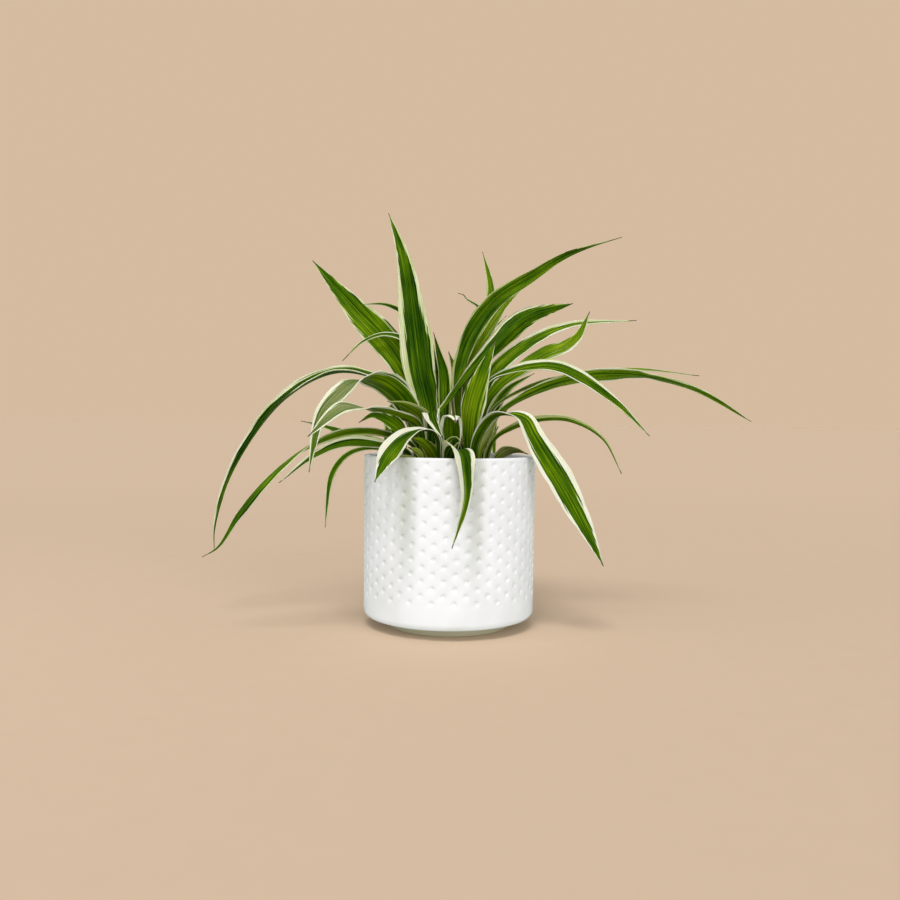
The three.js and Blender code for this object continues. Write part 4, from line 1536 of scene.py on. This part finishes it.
@dataclass(frozen=True)
class Pot:
    """The round glazed pot with its dimpled wall.

    Attributes:
        rim_radius: The wall's outer radius at the rim.
        base_radius: The same at the bottom.
        height: The pot's height.
        wall: The wall's thickness.
        foot_radius: The foot's outer radius.
        foot_height: The height of the foot, up to the body.
        corner: The radius of the body's lower corner.
        lip: The radius of the lip's two roundings.
        floor: The height of the floor inside.
        columns: How many columns of dimples there are.
        dimples: How many dimples there are in a column.
        lowest: The height of the lowest dimple.
        highest: The height of the highest one.
        band_top: Where the plain lip starts.
        lean: How far the columns lean, in degrees.
        cell: How many faces lie across a dimple's cell.
        rings: The radius and depth of each ring of a dimple, from its middle.
    """

    rim_radius: float = 60.0
    base_radius: float = 59.5
    height: float = 119.0
    wall: float = 4.0
    foot_radius: float = 43.0
    foot_height: float = 6.5
    corner: float = 5.0
    lip: float = 1.4
    floor: float = 12.0
    columns: int = 50
    dimples: int = 10
    lowest: float = 25.0
    highest: float = 114.7
    band_top: float = 117.5
    lean: float = 2.4
    cell: int = 10
    rings: tuple[tuple[float, float], ...] = (
        (0.0, 0.62), (0.88, 0.59), (1.4, 0.42), (1.79, 0.06), (1.96, 0.0),
    )

    SMOOTH_ANGLE = math.radians(60.0)
    SAME_POINT = 1e-6
    EDGE_REACH = 0.05
    LIP_STEPS = 5
    CORNER_STEPS = 7
    INSIDE_FLARE = (0.4, 108.0)
    INSIDE_MIDDLE = 60.0
    FLOOR_CORNER = 3.0
    FLOOR_STEPS = 3
    FLOOR_RING = 20.0
    FOOT_TOP = ((1.2, 0.0), (0.3, -0.3), (0.0, -1.0))
    FOOT_RING = ((0.0, 0.8), (-0.25, 0.2), (-0.8, 0.0), (-4.0, 0.0), (-5.0, 0.5), (-5.6, 1.6))

    def wall_radius(self, height: np.ndarray | float) -> np.ndarray | float:
        """The outer radius of the wall at a height."""
        return self.base_radius + (self.rim_radius - self.base_radius) * height / self.height

    def row_rise(self) -> float:
        """The height from a row of dimples to the staggered row above it."""
        return (self.highest - self.lowest) / (2 * self.dimples - 1)

    def build(self, glaze: bpy.types.Material) -> bpy.types.Object:
        """Makes the pot.

        Args:
            glaze: Its glaze.

        Returns:
            The finished pot, one closed shell.
        """
        piece = self._wall_band()
        piece.data.materials.append(glaze)
        self._add_rim(piece)
        self._add_foot(piece)
        close_up()
        bpy.ops.object.shade_smooth_by_angle(angle=self.SMOOTH_ANGLE)
        return piece

    def _wall_band(self) -> bpy.types.Object:
        """The dimpled band of the wall, bent round from a flat grid of cells.

        Returns:
            The band, in edit mode.
        """
        around = self.columns * self.cell
        half = self.cell // 2
        upwards = (2 * self.dimples + 1) * half
        piece, flat = flat_grid(around, upwards)
        across = grid_lines(flat[:, 0], around)
        up = grid_lines(flat[:, 1], upwards)
        column = np.minimum(across // self.cell, self.columns - 1)
        odd = column % 2
        i = across - column * self.cell - half
        j = (up - odd * half) % self.cell - half
        ring = np.maximum(np.abs(i), np.abs(j))
        within = np.where(odd == 1, up >= half, up <= 2 * self.dimples * half)
        dented = (ring < half) & within
        along = np.select(
            [(i == ring) & (j >= 0), j == ring, i == -ring, j == -ring],
            [j, 2 * ring - i, 4 * ring - j, 6 * ring + i],
            8 * ring + j,
        )
        angle = 2 * math.pi * along / np.maximum(8 * ring, 1)
        radii, depths = np.array([*self.rings, (0.0, 0.0)]).T
        radius = radii[np.minimum(ring, half)]
        pitch = 2 * math.pi * self.rim_radius / self.columns
        rise = self.row_rise()
        round_place = (column + 0.5) * pitch + np.where(
            dented, radius * np.cos(angle), i * pitch / self.cell
        )
        centre = self.lowest - rise + (up - j) * rise / half
        level = self.lowest - rise + up * rise / half
        squeeze = (self.band_top - self.highest) / rise
        level = np.where(level > self.highest, self.highest + (level - self.highest) * squeeze, level)
        height = np.where(dented, centre + radius * np.sin(angle), level)
        depth = np.where(dented, depths[np.minimum(ring, half)], 0.0)
        lean = (height - self.lowest) * math.tan(math.radians(self.lean)) / self.rim_radius
        turn = round_place / self.rim_radius + lean
        out = self.wall_radius(height) - depth
        corners = np.stack([out * np.sin(turn), -out * np.cos(turn), height], axis=1)
        piece.data.vertices.foreach_set("co", (corners * MM).ravel())
        piece.data.update()
        only(piece)
        bpy.ops.object.mode_set(mode="EDIT")
        bpy.ops.mesh.select_mode(type="EDGE")
        bpy.ops.mesh.select_all(action="SELECT")
        bpy.ops.mesh.remove_doubles(threshold=self.SAME_POINT)
        return piece

    def _add_rim(self, piece: bpy.types.Object) -> None:
        """Extrudes the band's top into the rounded lip, the inner wall and the inner floor.

        Args:
            piece: The band.
        """
        top = self.height - self.lip
        outer = self.rim_radius - self.lip
        inner = self.rim_radius - self.wall + self.lip
        inside = self.base_radius - self.wall
        flare, flare_height = self.INSIDE_FLARE
        corner = self.FLOOR_CORNER
        turn_at = self.floor + corner
        profile = [(float(self.wall_radius(top)), top)]
        profile += quarter_round(outer, top, self.lip, (0.0, 90.0), self.LIP_STEPS)
        profile += [(inner, self.height)]
        profile += quarter_round(inner, top, self.lip, (90.0, 180.0), self.LIP_STEPS)
        profile += [(inside + flare, flare_height), (inside, self.INSIDE_MIDDLE), (inside, turn_at)]
        profile += quarter_round(inside - corner, turn_at, corner, (0.0, -90.0), self.FLOOR_STEPS)
        profile += [(self.FLOOR_RING, self.floor), (CENTRE_RADIUS, self.floor)]
        start = (float(self.wall_radius(self.band_top)), self.band_top)
        sweep_edge(piece, lambda place: place.z > (self.band_top - self.EDGE_REACH) * MM, profile, start)

    def _add_foot(self, piece: bpy.types.Object) -> None:
        """Extrudes the band's bottom round the corner and into the foot, up to a shallow hollow.

        Args:
            piece: The band.
        """
        bottom = self.lowest - self.row_rise()
        turn_at = self.foot_height + self.corner
        side = float(self.wall_radius(turn_at))
        ring = self.foot_radius
        profile = [(side, turn_at)]
        profile += quarter_round(side - self.corner, turn_at, self.corner, (0.0, -90.0), self.CORNER_STEPS)
        profile += [(ring + out, self.foot_height + up) for out, up in self.FOOT_TOP]
        profile += [(ring + out, up) for out, up in self.FOOT_RING]
        profile += [(CENTRE_RADIUS, self.FOOT_RING[-1][1])]
        start = (float(self.wall_radius(bottom)), bottom)
        sweep_edge(piece, lambda place: place.z < (bottom + self.EDGE_REACH) * MM, profile, start)


@dataclass(frozen=True)
class Litter:
    """One kind of loose pieces on the soil.

    Attributes:
        rounded: Whether they are rounded bits and not flat chips.
        count: How many there are.
        length: Their least and greatest length.
        breadth: The least and greatest breadth, as a share of the length.
        depth: The same for their thickness.
    """

    rounded: bool
    count: int
    length: tuple[float, float]
    breadth: tuple[float, float]
    depth: tuple[float, float]


BARK = Litter(False, 230, (3.0, 9.0), (0.3, 0.6), (0.14, 0.26))
PERLITE = Litter(True, 60, (1.6, 3.4), (0.7, 1.0), (0.6, 0.9))


@dataclass(frozen=True)
class Soil:
    """The potting mix: an uneven bed with chips of bark and bits of perlite on it.

    Attributes:
        radius: The bed's radius.
        level: The height of its top.
        bottom: The height of its underside.
        sides: How many sides it has.
        rings: How many rings its top has.
        seed: The number that scatters the loose pieces.
    """

    radius: float = 55.3
    level: float = 107.0
    bottom: float = 12.4
    sides: int = 96
    rings: int = 34
    seed: int = 7

    MIDDLE_HEIGHT = 60.0
    CORNER = 3.0
    TOP_DEPTH = 1.0
    WAVE_EAST = (0.19, 1.3)
    WAVE_NORTH = (0.23, -0.4)
    CROSS_WAVE = (0.41, -0.33)
    CROSS_SHARE = 0.5
    LUMP_SCALE = 0.16
    LUMP_LAYER = 3.0
    LUMP_OCTAVES = 4
    LUMP_HEIGHT = 1.1
    WAVE_HEIGHT = 0.8
    PATTERNS = 3
    DENT = 0.35
    DENT_SCALE = 1.6
    DENT_SPREAD = 10
    CLEAR_OF_WALL = 5.0
    TILT = 0.3
    WHOLE_TURN = 6.3
    SUNK = 0.2
    SMOOTH_ANGLE = math.radians(60.0)
    LITTER_ANGLE = math.radians(35.0)

    def height(self, x: float, y: float) -> float:
        """The height of the bed at a place, in millimetres.

        Args:
            x: How far the place is to the right.
            y: How far it is to the back.

        Returns:
            The height, with the bed's waves and lumps.
        """
        east, east_start = self.WAVE_EAST
        north, north_start = self.WAVE_NORTH
        cross = math.sin(self.CROSS_WAVE[0] * x + self.CROSS_WAVE[1] * y)
        wave = math.sin(east * x + east_start) * math.cos(north * y + north_start)
        wave += self.CROSS_SHARE * cross
        spot = Vector((x * self.LUMP_SCALE, y * self.LUMP_SCALE, self.LUMP_LAYER))
        lumps = noise.fractal(spot, 1.0, 2.0, self.LUMP_OCTAVES)
        return self.level + self.WAVE_HEIGHT * wave + self.LUMP_HEIGHT * lumps

    def build_bed(self, earth: bpy.types.Material) -> bpy.types.Object:
        """Makes the bed.

        Args:
            earth: The soil's finish.

        Returns:
            The bed, one closed body down to the pot's floor.
        """
        clear_selection()
        bpy.ops.mesh.primitive_circle_add(
            vertices=self.sides, radius=self.radius * MM, fill_type="NOTHING",
            location=(0.0, 0.0, self.level * MM),
        )
        piece = bpy.context.object
        bpy.ops.object.transform_apply(location=True, rotation=True, scale=True)
        bpy.ops.object.mode_set(mode="EDIT")
        bpy.ops.mesh.select_mode(type="EDGE")
        bpy.ops.mesh.select_all(action="SELECT")
        radii = [self.radius * (1 - step / self.rings) for step in range(1, self.rings)]
        extrude_rings([(radius, self.level) for radius in radii], (self.radius, self.level))
        bpy.ops.mesh.merge(type="CENTER")
        side = [
            (self.radius, self.MIDDLE_HEIGHT), (self.radius, self.bottom + self.CORNER),
            (self.radius - self.CORNER, self.bottom), (CENTRE_RADIUS, self.bottom),
        ]
        sweep_edge(piece, lambda place: place.z > 0, side, (self.radius, self.level))
        close_up()
        for vertex in piece.data.vertices:
            if vertex.co.z > (self.level - self.TOP_DEPTH) * MM:
                vertex.co.z = self.height(vertex.co.x / MM, vertex.co.y / MM) * MM
        piece.data.materials.append(earth)
        bpy.ops.object.shade_smooth_by_angle(angle=self.SMOOTH_ANGLE)
        return piece

    def _pattern(self, kind: Litter, draw: random.Random) -> bpy.types.Object:
        """One chip or bit about the origin, a millimetre across, to be copied.

        Args:
            kind: Which of them.
            draw: Gives each its own dents.

        Returns:
            The chip or bit.
        """
        clear_selection()
        if kind.rounded:
            bpy.ops.mesh.primitive_ico_sphere_add(subdivisions=2, radius=0.5 * MM)
        else:
            bpy.ops.mesh.primitive_cube_add(size=1.0 * MM)
            bpy.ops.object.mode_set(mode="EDIT")
            bpy.ops.mesh.select_all(action="SELECT")
            bpy.ops.mesh.subdivide(number_cuts=1)
            bpy.ops.object.mode_set(mode="OBJECT")
        piece = bpy.context.object
        offset = Vector((draw.random(), draw.random(), draw.random())) * self.DENT_SPREAD
        for vertex in piece.data.vertices:
            push = self.DENT * noise.noise(vertex.co / MM * self.DENT_SCALE + offset)
            vertex.co = vertex.co * (1 + push)
        return piece

    def build_litter(self, kind: Litter, finish: bpy.types.Material) -> bpy.types.Object:
        """Scatters chips of bark, or bits of perlite, over the bed.

        Args:
            kind: Which of them.
            finish: Their finish.

        Returns:
            All of them as one piece.
        """
        draw = random.Random(self.seed + kind.rounded)
        patterns = [self._pattern(kind, draw) for _ in range(self.PATTERNS)]
        clear_selection()
        made = []
        for _ in range(kind.count):
            copy = patterns[draw.randrange(self.PATTERNS)].copy()
            copy.data = copy.data.copy()
            bpy.context.collection.objects.link(copy)
            reach = (self.radius - self.CLEAR_OF_WALL) * math.sqrt(draw.random())
            bearing = draw.uniform(0.0, 2 * math.pi)
            x, y = reach * math.cos(bearing), reach * math.sin(bearing)
            size = draw.uniform(*kind.length)
            sizes = (size, size * draw.uniform(*kind.breadth), size * draw.uniform(*kind.depth))
            lean = (draw.gauss(0, self.TILT), draw.gauss(0, self.TILT))
            tilt = Euler((*lean, draw.uniform(0, self.WHOLE_TURN)))
            level = self.height(x, y) + self.SUNK * sizes[2]
            move = Matrix.Translation(Vector((x, y, level)) * MM)
            copy.data.transform(move @ tilt.to_matrix().to_4x4() @ Matrix.Diagonal((*sizes, 1.0)))
            made.append(copy)
        for pattern in patterns:
            bpy.data.objects.remove(pattern)
        for copy in made:
            copy.select_set(True)
        bpy.context.view_layer.objects.active = made[0]
        bpy.ops.object.join()
        piece = bpy.context.object
        piece.data.materials.append(finish)
        bpy.ops.object.shade_smooth_by_angle(angle=self.LITTER_ANGLE)
        return piece


@dataclass(frozen=True)
class CrownSheath:
    """The short pale stem of a crown, wrapped in narrow scales.

    Attributes:
        crown: The crown.
        stub: The stem's radius.
        height: Its height.
        scales: How many scales stand round it.
    """

    crown: Crown
    stub: float
    height: float
    scales: int = 6

    SIDES = 20
    SWELLS = ((1.12, 2.0), (1.0, 5.0))
    NECK = (0.8, 0.6)
    TOP = (0.45, -1.0)
    FIRST_BEARING = 14.0
    SCALE_START = 0.75
    SCALE_WIDTH = 1.7
    SCALE_WIDEST = 0.3
    SCALE_FOLD = (50.0, 40.0, 24.0)
    SCALE_ROUTE = ((0.1, 0.35), (0.5, 0.7), (1.3, 1.0))
    SCALE_HEIGHTS = (0.75, 0.12)
    SCALE_SEED = 900
    SMOOTH_ANGLE = math.radians(40.0)

    def build(self, blades: BladeMaker, sheath: bpy.types.Material) -> bpy.types.Object:
        """Makes the stem and its scales.

        Args:
            blades: Makes the scales.
            sheath: The finish of all of it.

        Returns:
            The whole crown as one piece.
        """
        clear_selection()
        bpy.ops.mesh.primitive_circle_add(vertices=self.SIDES, radius=self.stub * MM, fill_type="NGON")
        stem = bpy.context.object
        bpy.ops.object.mode_set(mode="EDIT")
        bpy.ops.mesh.select_all(action="SELECT")
        neck = (self.NECK[0], self.height * self.NECK[1])
        top = (self.TOP[0], self.height + self.TOP[1])
        rings = [(self.stub * share, rise) for share, rise in (*self.SWELLS, neck, top)]
        extrude_rings(rings, (self.stub, 0.0))
        close_up()
        stem.data.transform(Matrix.Translation(Vector((*self.crown.value, blades.FOOT_HEIGHT)) * MM))
        stem.data.materials.append(sheath)
        bpy.ops.object.shade_smooth_by_angle(angle=self.SMOOTH_ANGLE)
        parts = [stem]
        for index in range(self.scales):
            bearing = 360.0 / self.scales * index + self.FIRST_BEARING
            parts.append(self._scale(blades, bearing, index, sheath))
        only(stem)
        for part in parts:
            part.select_set(True)
        bpy.ops.object.join()
        return bpy.context.object

    def _scale(
        self, blades: BladeMaker, bearing: float, index: int, sheath: bpy.types.Material
    ) -> bpy.types.Object:
        """One narrow scale that stands against the stem.

        Args:
            blades: Makes the scale.
            bearing: Where it stands round the stem.
            index: Its number.
            sheath: Its finish.

        Returns:
            The scale.
        """
        x, y = self.crown.value
        angle = math.radians(bearing)
        east, north = math.cos(angle), math.sin(angle)
        start = self.stub * self.SCALE_START
        least, more = self.SCALE_HEIGHTS
        tall = self.height * (least + more * (index % 3))
        route = tuple(
            (x + east * (start + out), y + north * (start + out), blades.FOOT_HEIGHT + tall * up)
            for out, up in self.SCALE_ROUTE
        )
        scale = Leaf(
            f"scale_{index}", self.crown, bearing=bearing, distance=start,
            width=self.stub * self.SCALE_WIDTH, widest=self.SCALE_WIDEST, route=route, fold=self.SCALE_FOLD,
        )
        piece = blades.blade(scale, self.SCALE_SEED + index)
        piece.data.materials.append(sheath)
        piece.data.materials.append(sheath)
        return piece


@dataclass(frozen=True)
class Sun:
    """Even, soft light from one side.

    Attributes:
        name: Its name.
        place: Where it comes from, as a direction.
        strength: How strong it is.
        spread: How wide it looks, in degrees.
    """

    name: str
    place: Point
    strength: float
    spread: float

    def build(self) -> None:
        """Hangs the light."""
        clear_selection()
        bpy.ops.object.light_add(type="SUN", location=Vector(self.place))
        sun = bpy.context.object
        sun.name = self.name
        sun.data.energy = self.strength
        sun.data.angle = math.radians(self.spread)
        sun.rotation_euler = (-Vector(self.place)).to_track_quat("-Z", "Y").to_euler()


@dataclass(frozen=True)
class Strip:
    """A tall soft lamp that draws a bright band on the glaze.

    Attributes:
        name: Its name.
        place: Where it stands.
        size: Its width and height.
        power: Its power in watts.
    """

    name: str
    place: Point
    size: tuple[float, float]
    power: float

    AIM = (0.0, 0.0, 110.0)

    def build(self) -> None:
        """Stands the lamp beside the pot, unseen by the camera."""
        clear_selection()
        bpy.ops.object.light_add(type="AREA", location=Vector(self.place) * MM)
        lamp = bpy.context.object
        lamp.name = self.name
        lamp.data.shape = "RECTANGLE"
        lamp.data.size = self.size[0] * MM
        lamp.data.size_y = self.size[1] * MM
        lamp.data.energy = self.power
        towards = Vector(self.AIM) - Vector(self.place)
        lamp.rotation_euler = towards.to_track_quat("-Z", "Y").to_euler()
        lamp.visible_camera = False


@dataclass(frozen=True)
class Studio:
    """The pale floor, the plain backdrop, the lights and the camera.

    Attributes:
        camera_place: Where the camera stands.
        camera_pitch: How far it looks down, in degrees.
        camera_roll: How far it leans, in degrees.
        camera_lens: Its focal length in millimetres, on a sensor of the usual width.
        floor_half: Half the floor's width in metres.
        backdrop: The colour behind everything.
        sky: The tint of the light from all round.
        sky_strength: The strength of that light.
        suns: The broad lights.
        strips: The lamps.
    """

    camera_place: Point = (0.0, -640.0, 143.6)
    camera_pitch: float = 1.9
    camera_roll: float = 0.7
    camera_lens: float = 36.36
    floor_half: float = 30.0
    backdrop: Colour = (213, 188, 161)
    sky: tuple[float, float, float] = (0.97, 0.985, 1.0)
    sky_strength: float = 0.45
    suns: tuple[Sun, ...] = (
        Sun("key_sun", (-0.12, -0.5, 1.0), 1.4, 24.0),
        Sun("front_sun", (0.4, -1.0, 0.2), 1.3, 60.0),
    )
    strips: tuple[Strip, ...] = (
        Strip("left_strip", (-700.0, -330.0, 350.0), (90.0, 500.0), 0.5),
    )

    SENSOR_WIDTH = 36.0
    NEAREST = 0.01

    def build(self) -> None:
        """Sets the studio up."""
        self._floor()
        self._sky()
        for light in (*self.suns, *self.strips):
            light.build()
        self._camera()

    def _floor(self) -> None:
        """Lays a plain floor that runs to the horizon."""
        clear_selection()
        bpy.ops.mesh.primitive_plane_add(size=2.0 * self.floor_half)
        floor = bpy.context.object
        floor.name = "studio_floor"
        floor.data.materials.append(FloorFinish().make())

    def _sky(self) -> None:
        """Gives the scene even, neutral light from all round, behind a plain backdrop."""
        world = bpy.data.worlds.new("studio")
        world.use_nodes = True
        tree = world.node_tree
        light = tree.nodes["Background"]
        light.inputs["Color"].default_value = (*self.sky, 1.0)
        light.inputs["Strength"].default_value = self.sky_strength
        seen = tree.nodes.new("ShaderNodeBackground")
        seen.inputs["Color"].default_value = linear(self.backdrop)
        path = tree.nodes.new("ShaderNodeLightPath")
        mixed = tree.nodes.new("ShaderNodeMixShader")
        tree.links.new(path.outputs["Is Camera Ray"], mixed.inputs[0])
        tree.links.new(light.outputs[0], mixed.inputs[1])
        tree.links.new(seen.outputs[0], mixed.inputs[2])
        tree.links.new(mixed.outputs[0], tree.nodes["World Output"].inputs["Surface"])
        bpy.context.scene.world = world
        bpy.context.scene.view_settings.view_transform = "Standard"

    def _camera(self) -> None:
        """Stands the camera where the plant is seen as in the picture."""
        bpy.ops.object.camera_add(location=Vector(self.camera_place) * MM)
        camera = bpy.context.object
        tilt = Matrix.Rotation(math.radians(90.0 - self.camera_pitch), 3, "X")
        roll = Matrix.Rotation(math.radians(self.camera_roll), 3, "Z")
        camera.rotation_euler = (tilt @ roll).to_euler()
        camera.data.lens = self.camera_lens
        camera.data.sensor_width = self.SENSOR_WIDTH
        camera.data.clip_start = self.NEAREST
        bpy.context.scene.camera = camera


@dataclass(frozen=True)
class Plant:
    """All the leaves and crowns."""

    blades: BladeMaker = BladeMaker()
    leaves: tuple[Leaf, ...] = LEAVES
    sheaths: tuple[CrownSheath, ...] = (
        CrownSheath(Crown.LEFT, 2.4, 14.0),
        CrownSheath(Crown.RIGHT, 2.4, 14.0),
        CrownSheath(Crown.FRONT, 1.8, 10.0),
        CrownSheath(Crown.SIDE, 1.8, 10.0),
    )

    def build(self) -> None:
        """Makes every leaf and every crown."""
        upper = LeafFinish(Face.UPPER).make()
        under = LeafFinish(Face.UNDER, roughness=0.52).make()
        for seed, leaf in enumerate(self.leaves):
            piece = self.blades.blade(leaf, seed)
            piece.data.materials.append(upper)
            piece.data.materials.append(under)
            place_piece(piece, f"blade_{leaf.name}", [f"leaf_{leaf.name}"])
        sheath = SheathFinish().make()
        for stem in self.sheaths:
            piece = stem.build(self.blades, sheath)
            name = stem.crown.name.lower()
            place_piece(piece, f"sheath_{name}", [f"crown_{name}"])


def main() -> None:
    """Builds the pot, the soil, the plant and the studio."""
    logging.basicConfig(level=logging.INFO, format="%(name)s %(message)s")
    place_piece(Pot().build(GlazeFinish().make()), "pot_dimpled", ["pot"])
    soil = Soil()
    earth = EarthFinish("soil_mix", (28, 18, 11), (74, 50, 32), 700.0)
    bark = EarthFinish("bark_chips", (52, 33, 20), (128, 88, 56), 480.0, relief=0.3)
    perlite = EarthFinish("perlite_bits", (196, 192, 180), (236, 233, 224), 900.0, relief=0.2)
    place_piece(soil.build_bed(earth.make()), "soil_bed", ["soil"])
    place_piece(soil.build_litter(BARK, bark.make()), "soil_bark")
    place_piece(soil.build_litter(PERLITE, perlite.make()), "soil_perlite")
    Plant().build()
    Studio().build()


if __name__ == "__main__":
    main()
